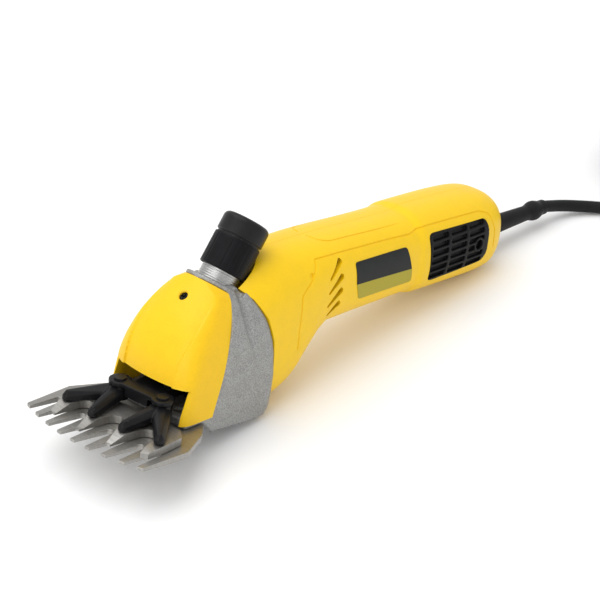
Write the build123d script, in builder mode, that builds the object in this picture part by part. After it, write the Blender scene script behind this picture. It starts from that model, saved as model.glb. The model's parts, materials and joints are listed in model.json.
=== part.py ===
from build123d import *
import os
from math import atan, atan2, cos, degrees, pi, radians, sin, sqrt, tan

# Electric sheep shears, lying on a table on the heel of the gear head and the rear of the barrel.
#
# The tool has its own axes, in which every driving dimension below is given:
#   x  across the tool, + to its left
#   y  lengthwise, 0 at the tip of the comb's middle tooth, + to the rear
#   z  square to the comb, 0 at the comb's top face
# deck(), station() and flank() turn those axes into planes of the resting tool.

# ---------------------------------------------------------------- resting attitude
heel_y, heel_z = 112.0, -10.4         # lowest point of the neck, behind the gear head
rear_y, rear_z = 279.0, 18.2          # lowest point at the back of the barrel
middle_y = 147.5                      # half the length of the tool as it lies, without its cord
rest_tilt = atan((rear_z - heel_z) / (rear_y - heel_y))
lift = heel_y * sin(rest_tilt) - heel_z * cos(rest_tilt)

# ---------------------------------------------------------------- comb and cutter
comb_width = 76.0                     # across the tips of the outer teeth
comb_teeth = 9
comb_pitch = comb_width / (comb_teeth - 1)
comb_thick = 3.0
tip_radius = 113.8                    # arc through the comb's tips
root_radius = 175.0                   # arc through the roots of its gaps
root_y = 20.2
tooth_tip_width = 2.4
gap_radius = 2.1
comb_screw_x, comb_screw_y = 14.3, 53.0
comb_screw_head = 1.9
cutter_gap = 0.3                      # running gap between cutter and comb
cutter_thick = 3.8
cutter_teeth = 4
cutter_pitch = 2 * comb_pitch
cutter_lead = 7.0                     # cutter tips behind comb tips
cutter_rear = 37.5
cutter_half = 31.5
cutter_top = cutter_gap + cutter_thick

# ---------------------------------------------------------------- fork, yokes, tension
pivot_y = 70.0                        # fork swings about a post here
swing = 4.7                           # where the fork stands, degrees towards the left
junction_x, junction_y = 13.2, 39.0   # yoke pins
finger_reach = ((9.5, 17.5), (28.5, 20.5))
finger_radius = 2.6
fork_low, fork_high = 9.0, 14.0
post_low, post_shoulder = -6.2, 8.7    # foot and shoulder of the post that the fork swings on
tension_lean = radians(34.7)          # knob axis leans back from the comb's normal
knob_y, knob_z = 89.1, 60.45          # centre of the knob's lower rim
knob_radius = 11.7
knob_skirt = 15.3                     # lower rim to groove
knob_height = 26.0
neck_radius = 9.8
collar_radius = 12.3                  # round the foot of the neck, inside the cover's top
flange_radius = 14.9                  # over the cover's top edge
flange_low, flange_high = -8.5, -6.3
neck_low, neck_high = -10.5, 11.0
pin_low = -53.6                       # underside of the pin's ball, just clear of the fork's pad

# ---------------------------------------------------------------- head outline
head_half = 25.7                      # half width of the head, front view
head_centre = 14.0
head_height = 46.0
head_power = 2.6
wall = 2.8
cavity_half = head_half - wall       # inside half width low in the head
cover_low_y, cover_low_z = 63.5, 2.0  # joint between cover and casting, side view
cover_top_y, cover_top_z = 79.9, 56.5

# ---------------------------------------------------------------- drive
motor_z = 42.5
gear_module = 1.0
pinion_teeth, gear_teeth = 8, 36
crank_z = motor_z - gear_module * (pinion_teeth + gear_teeth) / 2
crank_throw = 2.9
pin_x = 1.9                           # where the crank pin stands, to the right of the crank's axis
pin_rise = sqrt(crank_throw**2 - pin_x**2)
roller_radius = 4.5
slot_half = roller_radius + 2 * crank_throw + 0.4
gear_y0, gear_y1 = 108.0, 115.0
plate_y0, plate_y1 = 118.0, 124.0

# ---------------------------------------------------------------- barrel, side and plan view
# station, lowest and highest point, half width
barrel_rows = (
    (82.0, -11.4, 56.5, 25.3),
    (98.0, -12.0, 62.8, 25.4),
    (heel_y, heel_z, 66.2, 25.2),
    (123.0, -5.6, 67.0, 24.8),
    (133.0, 6.5, 67.0, 24.2),
    (141.0, 15.8, 66.9, 23.6),
    (150.0, 20.6, 66.7, 23.1),
    (212.0, 20.7, 64.6, 22.1),
)
rear_rows = (
    (212.0, 20.7, 64.6, 22.1),
    (218.0, 19.0, 65.9, 23.0),
    (245.0, 18.2, 65.4, 23.0),
    (268.0, 17.8, 64.3, 22.6),
    (rear_y, rear_z, 62.8, 21.6),
    (286.0, 20.8, 59.6, 18.9),
    (290.5, 25.5, 53.0, 14.0),
)
rear_wall = 288.3                     # inside of the barrel's rear end
barrel_power = 2.4
shell = 2.4

# ---------------------------------------------------------------- cord
cord_radius = 3.4


def at(x, y, z):
    """Resting place of a point given on the tool's own axes."""
    c, s = cos(rest_tilt), sin(rest_tilt)
    return Vector(x, y * c + z * s - middle_y, -y * s + z * c + lift)


tool_up = Vector(0, sin(rest_tilt), cos(rest_tilt))
tool_front = Vector(0, -cos(rest_tilt), sin(rest_tilt))
tool_back = -tool_front


def deck(z):
    """Plane parallel to the comb; sketch axes are the tool's x and y."""
    return Plane(origin=at(0, 0, z), x_dir=(1, 0, 0), z_dir=tool_up)


def station(y):
    """Plane across the tool, facing forward; sketch axes are the tool's x and z."""
    return Plane(origin=at(0, y, 0), x_dir=(1, 0, 0), z_dir=tool_front)


def flank(x):
    """Plane along the tool, facing its left; sketch axes are the tool's y and z."""
    return Plane(origin=at(x, 0, 0), x_dir=tool_back, z_dir=(1, 0, 0))


def swung(z):
    """deck() turned about the pivot to where the fork stands; sketch origin is the pivot."""
    a = radians(swing)
    across = Vector(cos(a), sin(a) * cos(rest_tilt), -sin(a) * sin(rest_tilt))
    return Plane(origin=at(0, pivot_y, z), x_dir=across, z_dir=tool_up)


def tension(height):
    """Plane square to the tension knob's axis; height is measured from the knob's rim."""
    c, s = cos(tension_lean), sin(tension_lean)
    up = tool_up * c + tool_back * s
    return Plane(origin=at(0, knob_y + height * s, knob_z + height * c), x_dir=(1, 0, 0), z_dir=up)


def oval(plane, z0, half_w, half_h, power):
    """Squarish oval on a plane, standing at height z0: a side, a corner, the top and so on, as eight arcs."""
    def spot(eighth):
        c, s = cos(pi * eighth / 8), sin(pi * eighth / 8)
        x = half_w * abs(c) ** (2 / power) * (1 if c > 0 else -1)
        z = half_h * abs(s) ** (2 / power) * (1 if s > 0 else -1)
        return (x, z0 + z)

    with BuildSketch(plane) as section:
        with BuildLine():
            for i in range(8):
                ThreePointArc(spot(2 * i - 1), spot(2 * i), spot(2 * i + 1))
        make_face()
    return section.sketch


def barrel(grow):
    """Solid of the barrel's outline, grown or shrunk all round: front part with the neck, rear part."""
    for rows in (barrel_rows, rear_rows):
        sections = []
        for y, low, high, half in rows:
            half_height = (high - low) / 2 + grow
            sections.append(oval(station(y), (low + high) / 2, half + grow, half_height, barrel_power))
        loft(sections, ruled=True)


def block(x0, x1, y0, y1, z0, z1, mode=Mode.ADD):
    """Box between two corners on the tool's axes."""
    with BuildSketch(deck(z0)) as base:
        with Locations(((x0 + x1) / 2, (y0 + y1) / 2)):
            Rectangle(x1 - x0, y1 - y0)
    extrude(base.sketch, amount=z1 - z0, mode=mode)


def turned(y0, y1, z, outer, inner=0.0, mode=Mode.ADD):
    """Ring or disc about a lengthwise axis at height z."""
    with BuildSketch(station(y1)) as ring:
        with Locations((0, z)):
            Circle(outer)
            if inner > 0:
                Circle(inner, mode=Mode.SUBTRACT)
    extrude(ring.sketch, amount=y1 - y0, mode=mode)


def upright(plane, height, outer, inner=0.0, places=((0, 0),), mode=Mode.ADD):
    """Rings or discs standing on a plane."""
    with BuildSketch(plane) as ring:
        with Locations(*places):
            Circle(outer)
            if inner > 0:
                Circle(inner, mode=Mode.SUBTRACT)
    extrude(ring.sketch, amount=height, mode=mode)


def side_slab(outline, x0, x1, mode=Mode.ADD):
    """Side-view outline made solid from x0 to x1."""
    with BuildSketch(flank(x0)) as side:
        with BuildLine():
            Polyline(*outline, close=True)
        make_face()
    extrude(side.sketch, amount=x1 - x0, mode=mode)


def head_outline(y, depth, shrink, mode=Mode.ADD):
    """Front-view arch of the head made solid from station y forward."""
    front = oval(station(y), head_centre, head_half - shrink, head_height - shrink, head_power)
    extrude(front, amount=depth, mode=mode)


def save(part, name):
    """Label a finished piece and write it."""
    part.label = name
    export_step(part, f"parts/{name}.step")


def tip_arc(x):
    """How far a comb tip stands behind the middle one."""
    return tip_radius - sqrt(tip_radius**2 - x**2)


def root_arc(x):
    """Where the gap beside x ends."""
    return root_y + root_radius - sqrt(root_radius**2 - x**2)


os.makedirs("parts", exist_ok=True)

# ================================================================ cutting end
gaps = [(i - (comb_teeth - 2) / 2) * comb_pitch for i in range(comb_teeth - 1)]
comb_side = comb_width / 2 + tooth_tip_width / 2

with BuildPart() as comb:
    with BuildSketch(deck(-comb_thick)):
        with BuildLine():
            ThreePointArc((-comb_side, tip_arc(comb_side)), (0, 0), (comb_side, tip_arc(comb_side)))
            Polyline(
                (comb_side, tip_arc(comb_side)), (40.6, 34), (33, 50), (26, 58),
                (-26, 58), (-33, 50), (-40.6, 34), (-comb_side, tip_arc(comb_side)),
            )
        make_face()
        for x in gaps:
            end = root_arc(x) - gap_radius
            mouth = (comb_pitch - tooth_tip_width) / 2
            with Locations((x, end)):
                Circle(gap_radius, mode=Mode.SUBTRACT)
            with BuildLine():
                Polyline(
                    (x - gap_radius, end), (x + gap_radius, end),
                    (x + mouth, -2), (x - mouth, -2), close=True,
                )
            make_face(mode=Mode.SUBTRACT)
        for side in (-1, 1):
            with Locations((side * comb_screw_x, comb_screw_y + 3)):
                Rectangle(5.6, 6, mode=Mode.SUBTRACT)
            with Locations((side * comb_screw_x, comb_screw_y)):
                Circle(2.8, mode=Mode.SUBTRACT)
    extrude(amount=comb_thick)
    # the teeth thin down towards their tips from below
    side_slab([(-3, -4), (24, -4), (24, -comb_thick), (-3, -1.1)], -45, 45, mode=Mode.SUBTRACT)
save(comb.part, "comb")

finger_spots = [(side * x, y - pivot_y) for side in (-1, 1) for x, y in finger_reach]

with BuildPart() as cutter:
    with BuildSketch(swung(cutter_gap)):
        front = cutter_lead - pivot_y
        with BuildLine():
            ThreePointArc(
                (-cutter_half, front + 4.6), (0, front), (cutter_half, front + 4.6)
            )
            Polyline(
                (cutter_half, front + 4.6), (cutter_half, cutter_rear - 5 - pivot_y),
                (cutter_half - 5, cutter_rear - pivot_y), (5 - cutter_half, cutter_rear - pivot_y),
                (-cutter_half, cutter_rear - 5 - pivot_y), (-cutter_half, front + 4.6),
            )
        make_face()
        for i in range(cutter_teeth - 1):
            x = (i - 1) * cutter_pitch
            rise = 0.6 if i == 1 else 1.6
            with BuildLine():
                Polyline(
                    (x - 5.2, front + 14 + rise), (x + 5.2, front + 14 + rise),
                    (x + 8.6, front - 2), (x - 8.6, front - 2), close=True,
                )
            make_face(mode=Mode.SUBTRACT)
            with Locations((x, front + 14 + rise)):
                Circle(5.2, mode=Mode.SUBTRACT)
        for side in (-1, 1):
            with BuildLine():
                Polyline(
                    (side * 29.3, front - 2), (side * 33, front - 2), (side * 33, front + 20),
                    close=True,
                )
            make_face(mode=Mode.SUBTRACT)
    extrude(amount=cutter_thick)
    # bevel on the front of the teeth
    side_slab(
        [(-2, cutter_gap + 1.0), (9.5, cutter_gap + 1.0), (16.5, cutter_top), (16.5, 8), (-2, 8)],
        -40, 40, mode=Mode.SUBTRACT,
    )
    upright(swung(cutter_top - 2.2), 3, 1.5, places=finger_spots, mode=Mode.SUBTRACT)
save(cutter.part, "cutter")

with BuildPart() as comb_screws:
    spots = [(side * comb_screw_x, comb_screw_y) for side in (-1, 1)]
    upright(deck(-comb_thick - comb_screw_head), comb_screw_head, 4.2, places=spots)
    upright(deck(-comb_thick), comb_thick + 3.4, 2.4, places=spots)
    with BuildSketch(deck(-comb_thick - comb_screw_head)) as slots:
        with Locations(*spots):
            Rectangle(9, 1.2)
    extrude(slots.sketch, amount=1.0, mode=Mode.SUBTRACT)
save(comb_screws.part, "comb_screws")


def yoke(side, mode=Mode.ADD):
    """Forked foot: a hub on the fork's pin and two tapered fingers resting on the cutter."""
    hub = (side * junction_x, junction_y - pivot_y)
    upright(swung(5.4), 7.2, 4.4, 1.65, places=(hub,), mode=mode)
    base = swung(0)
    for x, y in finger_reach:
        start = base.from_local_coords((side * junction_x, junction_y - pivot_y, 9.2))
        end = base.from_local_coords((side * x, y - pivot_y, cutter_top + finger_radius))
        along = (end - start).normalized()
        near = start + along * 4.0
        with BuildSketch(Plane(origin=near, z_dir=along)) as thick:
            Circle(3.4)
        with BuildSketch(Plane(origin=end, z_dir=along)) as thin:
            Circle(finger_radius)
        loft([thick.sketch, thin.sketch])
        with Locations(end):
            Sphere(finger_radius)
    pins = [(side * x, y - pivot_y) for x, y in finger_reach]
    upright(swung(cutter_top - 2.0), 2.6, 1.4, places=pins)
    upright(swung(4.0), 10, 1.65, places=(hub,), mode=Mode.SUBTRACT)


with BuildPart() as left_yoke:
    yoke(1)
save(left_yoke.part, "left_yoke")

with BuildPart() as right_yoke:
    yoke(-1)
save(right_yoke.part, "right_yoke")

hubs = [(side * junction_x, junction_y - pivot_y) for side in (-1, 1)]

with BuildPart() as yoke_pins:
    upright(swung(4.9), 10.2, 1.55, places=hubs)
    upright(swung(15.1), 0.9, 3.0, places=hubs)
save(yoke_pins.part, "yoke_pins")

with BuildPart() as fork:
    with BuildSketch(swung(fork_low)):
        with BuildLine():
            Polyline(
                (-5, -34), (5, -34), (9, -24), (9.5, -8), (11, 6), (13.8, 14), (13.8, 20.5),
                (-13.8, 20.5), (-13.8, 14), (-11, 6), (-9.5, -8), (-9, -24), close=True,
            )
        make_face()
    extrude(amount=fork_high - fork_low)
    # front beam that carries the yokes, above their hubs
    with BuildSketch(swung(12.9)):
        with Locations((0, junction_y - pivot_y)):
            Rectangle(2 * junction_x, 7)
        with Locations(*hubs):
            Circle(5.4)
    extrude(amount=2.2)
    with BuildSketch(swung(fork_low)):
        with Locations((0, -31)):
            Rectangle(14, 7)
    extrude(amount=4)
    # hub over the pivot and pad under the tension pin
    upright(swung(fork_low), 7.0, 7.0)
    upright(swung(fork_high - 0.5), 2.3, 5.0, places=((0, -11.2),))
    # clevis round the crank roller
    with BuildSketch(swung(fork_low)):
        for side in (-1, 1):
            with Locations((side * (slot_half + 1.5), 21.0)):
                Rectangle(3.0, 5.0)
    extrude(amount=crank_z + 5.5 - fork_low)
    # plate thinned between the ears, under the roller
    with BuildSketch(swung(fork_high - 1.6)):
        with Locations((0, 19.6)):
            Rectangle(2 * slot_half, 4.0)
    extrude(amount=3.0, mode=Mode.SUBTRACT)
    upright(swung(fork_low - 1), 5.4, 3.05, mode=Mode.SUBTRACT)
    upright(swung(5), 12, 1.6, places=hubs, mode=Mode.SUBTRACT)
save(fork.part, "fork_lever")

# ================================================================ gear head
cover_lean = (cover_top_y - cover_low_y) / (cover_top_z - cover_low_z)


def joint_y(z):
    """Joint line between the front cover and the casting."""
    return cover_low_y + cover_lean * (z - cover_low_z)


# rear edge of the casting, where the yellow housing starts, side view
rear_edge = [(104.0, -14), (104.4, 12), (102.5, 30), (98.5, 42), (92.0, 52), (84.5, 60), (82, 64)]
casting_side = (
    [(joint_y(4.5), 4.5), (46.5, 4.5), (46.5, 0), (58.6, 0), (66.0, -7.4), (96.0, -10.2),
     (101.5, -9.4), (104.0, -6)]
    + rear_edge[1:5]
    + [(85.6, 58.6), (joint_y(58.6), 58.6)]
)
cavity_side = [
    (60, 4.5), (66.5, 4.5), (68.5, -5.2), (97.5, -7.2), (98.2, 12), (97.7, 30), (93.5, 39.5),
    (87.5, 48.5), (82.5, 54.5), (60, 54.5),
]
cover_zone = [(joint_y(1.9) + 0.05, 1.9), (joint_y(75) + 0.05, 75), (30, 75), (30, 1.9)]
screw_y, screw_z = 64.2, 54.6         # cover screw, square to the cover's top
screw_lean = radians(40)


def cover_normal(depth):
    """Plane square to the cover screw, depth below the cover's skin."""
    c, s = cos(screw_lean), sin(screw_lean)
    axis = tool_up * c + tool_front * s
    return Plane(origin=at(0, screw_y + depth * s, screw_z - depth * c), x_dir=(1, 0, 0), z_dir=axis)


with BuildPart() as casting:
    side_slab(casting_side, -30, 30)
    head_outline(120, 90, 0.0, mode=Mode.INTERSECT)
    # cavity for fork and crank
    with BuildPart(mode=Mode.PRIVATE) as cavity:
        side_slab(cavity_side, -30, 30)
        head_outline(120, 90, wall, mode=Mode.INTERSECT)
    add(cavity.part, mode=Mode.SUBTRACT)
    # bore of the front crank bearing and the window above it
    turned(97, 110, crank_z, 9.52, mode=Mode.SUBTRACT)
    block(-16, 16, 90, 112, 35.5, 47, mode=Mode.SUBTRACT)
    # room in front for the cover, then the neck's collar and the flange over the cover's top edge
    side_slab(cover_zone, -30, 30, mode=Mode.SUBTRACT)
    with BuildPart(mode=Mode.PRIVATE) as collar:
        upright(tension(-24.0), flange_low + 24.0, collar_radius, collar_radius - 3.0)
        side_slab([(66, 46), (66, 75), (100, 75), (100, 46)], -30, 30, mode=Mode.INTERSECT)
    add(collar.part)
    upright(tension(flange_low), flange_high - flange_low, flange_radius)
    # lug under the collar that takes the cover screw
    with BuildPart(mode=Mode.PRIVATE) as lug:
        side_slab([(63.8, 48.3), (67.6, 50.4), (75.5, 57.5), (75.5, 50.5), (66, 44.8)], -4.5, 4.5)
        upright(tension(-45.0), 50.0, collar_radius - 1.0, mode=Mode.SUBTRACT)
    add(lug.part)
    block(-cavity_half, cavity_half, 46.5, 66, 1.8, 4.5)
    upright(tension(-45.0), 50.0, neck_radius - 3.3, mode=Mode.SUBTRACT)
    upright(tension(neck_low), 20.0, neck_radius, mode=Mode.SUBTRACT)
    upright(cover_normal(12.0), 10.0, 1.25, mode=Mode.SUBTRACT)
    # pivot post seat and comb screw holes
    with BuildSketch(deck(-7.0)) as seat:
        with Locations((0, pivot_y + 4.5)):
            Rectangle(16, 14)
    extrude(seat.sketch, amount=3.0)
    upright(deck(post_low), 12.0, 4.0, places=((0, pivot_y),), mode=Mode.SUBTRACT)
    holes = [(side * comb_screw_x, comb_screw_y) for side in (-1, 1)]
    upright(deck(-1.0), 7.0, 2.45, places=holes, mode=Mode.SUBTRACT)
save(casting.part, "gear_head")

with BuildPart() as pivot_post:
    upright(deck(post_low), post_shoulder - post_low, 3.97, places=((0, pivot_y),))
    upright(deck(post_shoulder), 4.5, 3.0, places=((0, pivot_y),))
save(pivot_post.part, "pivot_post")

# height, front, half width of the cover
cover_rows = (
    (2.0, 44.8, 25.7), (19.0, 44.0, 25.6), (28.0, 45.4, 25.0), (37.0, 48.8, 23.6), (46.0, 54.9, 21.2),
    (52.0, 61.2, 18.4), (57.0, 66.8, 15.2), (63.5, 73.8, 13.4),
)
hollow_rows = (
    (0.0, 44.8, 25.7), (19.0, 44.0, 25.6), (28.0, 45.4, 25.0), (37.0, 48.8, 23.6), (46.0, 55.5, 21.2),
    (52.0, 62.2, 18.4), (56.0, 67.0, 15.4),
)


def cover_section(row, shrink):
    """Outline of the cover at one height: bowed front, rounded corners, open line at the joint."""
    z, front, half = row
    half -= shrink
    back = joint_y(z) + 4 * (shrink > 0)
    depth = back - front - shrink
    points = []
    for a in (0, 15, 30, 45, 60, 90, 120, 135, 150, 165, 180):
        c, s = cos(radians(a)), sin(radians(a))
        x = half * abs(c) ** 0.42 * (1 if c > 0 else -1)
        points.append((x, back - depth * abs(s) ** 0.42 + 3.5 * (x / half) ** 2 * abs(s)))
    with BuildSketch(deck(z)) as section:
        with BuildLine():
            for i in range(0, 10, 2):
                ThreePointArc(*points[i:i + 3])
            Line(points[-1], points[0])
        make_face()
    return section.sketch


with BuildPart() as front_cover:
    loft([cover_section(row, 0.0) for row in cover_rows], ruled=True)
    with BuildPart(mode=Mode.PRIVATE) as hollow:
        loft([cover_section(row, 2.2) for row in hollow_rows], ruled=True)
    add(hollow.part, mode=Mode.SUBTRACT)
    # mouth that the yokes reach out of
    side_slab([(40, -2), (40, 19.0), (50.5, 19.0), (46.0, 2), (46, -2)], -30, 30, mode=Mode.SUBTRACT)
    block(-23.2, 23.2, 40, 58, -2, 19.0, mode=Mode.SUBTRACT)
    upright(cover_normal(6.0), 10.0, 2.3, mode=Mode.SUBTRACT)
    # top edge, round the collar and under its flange
    upright(tension(flange_low), 40.0, 60.0, mode=Mode.SUBTRACT)
    upright(tension(-40.0), 40.0, collar_radius + 0.05, mode=Mode.SUBTRACT)
save(front_cover.part, "front_cover")

with BuildPart() as cover_screw:
    upright(cover_normal(3.4), 1.9, 2.2)
    upright(cover_normal(9.4), 6.0, 1.2)
    with BuildSketch(cover_normal(1.5)) as slot:
        Rectangle(0.9, 3.2)
        Rectangle(3.2, 0.9)
    extrude(slot.sketch, amount=-0.9, mode=Mode.SUBTRACT)
save(cover_screw.part, "cover_screw")

# ================================================================ tension gear
with BuildPart() as tension_neck:
    upright(tension(neck_low), neck_high - neck_low, neck_radius, 6.4)
save(tension_neck.part, "tension_neck")

with BuildPart() as tension_pin:
    upright(tension(pin_low + 3.0), 16.0 - pin_low, 3.0)
    with Locations(tension(pin_low + 3.0).origin):
        Sphere(3.0)
    upright(tension(-7.0), 2.0, 5.6)
save(tension_pin.part, "tension_pin")

with BuildPart() as tension_nut:
    upright(tension(4.0), 10.5, 10.6, neck_radius + 0.08)
    upright(tension(14.5), 3.5, 10.6, 3.1)
save(tension_nut.part, "tension_nut")

with BuildPart() as tension_spring:
    with BuildLine() as coil:
        Helix(2.6, 18.0, 4.8, center=tension(-4.3).origin, direction=tension(0).z_dir)
    with BuildSketch(Plane(origin=coil.line @ 0, z_dir=coil.line % 0)):
        Circle(0.55)
    sweep(path=coil.line, is_frenet=True)
save(tension_spring.part, "tension_spring")

with BuildPart() as knob:
    upright(tension(0.0), knob_skirt, knob_radius, 10.62)
    with BuildSketch(tension(0.0)) as flutes:
        with PolarLocations(knob_radius + 0.35, 24):
            Circle(0.7)
    extrude(flutes.sketch, amount=knob_skirt, mode=Mode.SUBTRACT)
save(knob.part, "tension_knob")

with BuildPart() as knob_cap:
    upright(tension(knob_skirt), 1.0, knob_radius - 0.9)
    upright(tension(knob_skirt + 1.0), knob_height - knob_skirt - 1.0, knob_radius)
    rim = knob_cap.faces().sort_by(Axis(tuple(tension(0).origin), tuple(tension(0).z_dir)))[-1].edges()
    fillet(rim, 2.6)
    upright(tension(knob_skirt), 2.75, 10.65, mode=Mode.SUBTRACT)
    upright(tension(knob_skirt), 4.0, 3.4, mode=Mode.SUBTRACT)
save(knob_cap.part, "knob_cap")

# ================================================================ drive
def spur(teeth, y0, y1, z, bore, turn=0.0):
    """Plain spur gear about a lengthwise axis, turned by turn degrees."""
    pitch_r = gear_module * teeth / 2
    root, tip = pitch_r - 1.1 * gear_module, pitch_r + 0.8 * gear_module
    step = 360 / teeth
    with BuildSketch(station(y1)) as wheel:
        with Locations((0, z)):
            Circle(root)
            with PolarLocations(0, teeth, start_angle=turn):
                Polygon(
                    (root - 0.4, -0.9 * gear_module), (pitch_r, -0.64 * gear_module),
                    (tip, -0.28 * gear_module), (tip, 0.28 * gear_module),
                    (pitch_r, 0.64 * gear_module), (root - 0.4, 0.9 * gear_module), align=None,
                )
            Circle(bore, mode=Mode.SUBTRACT)
    extrude(wheel.sketch, amount=y1 - y0)


with BuildPart() as crankshaft:
    turned(95.6, 96.9, crank_z, 8.2)
    turned(96.9, plate_y1, crank_z, 4.0)
    with BuildSketch(station(95.6)) as pin:
        with Locations((-pin_x, crank_z + pin_rise)):
            Circle(2.0)
    extrude(pin.sketch, amount=7.4)
save(crankshaft.part, "crankshaft")

with BuildPart() as crank_roller:
    with BuildSketch(station(95.1)) as ring:
        with Locations((-pin_x, crank_z + pin_rise)):
            Circle(roller_radius)
            Circle(2.05, mode=Mode.SUBTRACT)
    extrude(ring.sketch, amount=6.4)
save(crank_roller.part, "crank_roller")


def bearing(y0, y1, z, bore, outer):
    """Sealed ball bearing as one ring with a groove between its races on each face."""
    turned(y0, y1, z, outer, bore)
    middle = (bore + outer) / 2
    turned(y0, y0 + 0.5, z, middle + 1.2, middle - 1.2, mode=Mode.SUBTRACT)
    turned(y1 - 0.5, y1, z, middle + 1.2, middle - 1.2, mode=Mode.SUBTRACT)


with BuildPart() as crank_front_bearing:
    bearing(98.0, 103.5, crank_z, 4.03, 9.5)
save(crank_front_bearing.part, "crank_front_bearing")

with BuildPart() as crank_rear_bearing:
    bearing(plate_y0, plate_y1, crank_z, 4.03, 9.5)
save(crank_rear_bearing.part, "crank_rear_bearing")

with BuildPart() as driven_gear:
    spur(gear_teeth, gear_y0, gear_y1, crank_z, 4.0, 90 + 180 / gear_teeth)
    with BuildSketch(station(gear_y1)) as holes:
        with Locations((0, crank_z)):
            with PolarLocations(10.5, 6):
                Circle(2.6)
    extrude(holes.sketch, amount=gear_y1 - gear_y0, mode=Mode.SUBTRACT)
    turned(gear_y1, plate_y0 - 0.4, crank_z, 7.0, 4.0)
save(driven_gear.part, "driven_gear")

# ================================================================ motor
fan_y0, fan_y1 = 137.0, 147.0
core_y0, core_y1 = 158.0, 200.0
commutator_y0, commutator_y1 = 212.0, 226.0
bridge_y0, bridge_y1 = 234.0, 242.0
stator_radius = 17.4
shaft_radius = 4.0

with BuildPart() as gear_plate:
    with BuildPart(mode=Mode.PRIVATE) as room:
        barrel(-shell - 0.15)
    turned(plate_y0, plate_y1, 30, 60)
    add(room.part, mode=Mode.INTERSECT)
    turned(plate_y0 - 1, plate_y1 + 1, crank_z, 9.52, mode=Mode.SUBTRACT)
    turned(plate_y0 - 1, plate_y1 + 1, motor_z, 9.52, mode=Mode.SUBTRACT)
save(gear_plate.part, "gear_plate")

with BuildPart() as motor_front_bearing:
    bearing(plate_y0, plate_y1, motor_z, shaft_radius + 0.03, 9.5)
save(motor_front_bearing.part, "motor_front_bearing")

with BuildPart() as motor_rear_bearing:
    bearing(235.0, 241.0, motor_z, shaft_radius + 0.03, 9.5)
save(motor_rear_bearing.part, "motor_rear_bearing")

with BuildPart() as armature_shaft:
    turned(116.2, 243.0, motor_z, shaft_radius)
    turned(106.5, 116.2, motor_z, 2.0)
save(armature_shaft.part, "armature_shaft")

with BuildPart() as pinion:
    spur(pinion_teeth, 107.2, 115.8, motor_z, 2.0, -90)
save(pinion.part, "pinion")

with BuildPart() as fan:
    turned(fan_y0, fan_y1, motor_z, 6.5, shaft_radius)
    turned(fan_y1 - 1.4, fan_y1, motor_z, 18.4, shaft_radius)
    with BuildSketch(station(fan_y1 - 1.4)) as blades:
        with Locations((0, motor_z)):
            with PolarLocations(12.2, 11):
                Rectangle(12.0, 1.3)
    extrude(blades.sketch, amount=fan_y1 - fan_y0 - 1.4)
save(fan.part, "cooling_fan")

with BuildPart() as core:
    with BuildSketch(station(core_y1)) as stack:
        with Locations((0, motor_z)):
            Circle(12.0)
            Circle(shaft_radius, mode=Mode.SUBTRACT)
            with PolarLocations(9.6, 12):
                SlotOverall(4.6, 2.6, mode=Mode.SUBTRACT)
            with PolarLocations(11.6, 12):
                Rectangle(1.8, 1.0, mode=Mode.SUBTRACT)
    extrude(stack.sketch, amount=core_y1 - core_y0)
save(core.part, "armature_core")

with BuildPart() as windings:
    for y0, y1 in ((core_y0 - 7.0, core_y0), (core_y1, core_y1 + 7.5)):
        turned(y0, y1, motor_z, 11.2, shaft_radius + 0.4)
        ends = windings.edges().filter_by(GeomType.CIRCLE).filter_by(lambda e: e.radius > 11)
    fillet(ends, 2.2)
save(windings.part, "armature_windings")

with BuildPart() as commutator:
    with BuildSketch(station(commutator_y1)) as bars:
        with Locations((0, motor_z)):
            Circle(9.5)
            Circle(shaft_radius, mode=Mode.SUBTRACT)
            with PolarLocations(9.4, 24):
                Rectangle(1.2, 0.5, mode=Mode.SUBTRACT)
    extrude(bars.sketch, amount=commutator_y1 - commutator_y0)
    turned(commutator_y0 - 2.0, commutator_y0, motor_z, 10.6, shaft_radius)
save(commutator.part, "commutator")


def arc_plate(y0, y1, inner, outer, start, sweep_angle, mode=Mode.ADD):
    """Part of a ring about the motor's axis, between two angles."""
    with BuildSketch(station(y1)) as plate:
        with Locations((0, motor_z)):
            Circle(outer)
            Circle(inner, mode=Mode.SUBTRACT)
            fan_out = [radians(start + sweep_angle * i / 4) for i in range(5)]
            corners = [(4 * outer * cos(a), 4 * outer * sin(a)) for a in fan_out]
            Polygon((0, 0), *corners, align=None, mode=Mode.INTERSECT)
    extrude(plate.sketch, amount=y1 - y0, mode=mode)


with BuildPart() as stator:
    turned(core_y0, core_y1, motor_z, stator_radius, 15.0)
    for start in (-52, 128):
        arc_plate(core_y0, core_y1, 12.7, 15.5, start, 104)
save(stator.part, "stator_core")

with BuildPart() as field:
    turned(core_y0 - 5.5, core_y1 + 5.5, motor_z, 14.8, 12.8)
    # poles pass through the two coils, which stand a little apart
    block(-20, 20, core_y0 - 0.3, core_y1 + 0.3, motor_z - 12, motor_z + 12, mode=Mode.SUBTRACT)
    block(-0.3, 0.3, core_y0 - 9, core_y1 + 9, motor_z - 20, motor_z + 20, mode=Mode.SUBTRACT)
save(field.part, "field_windings")

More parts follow.
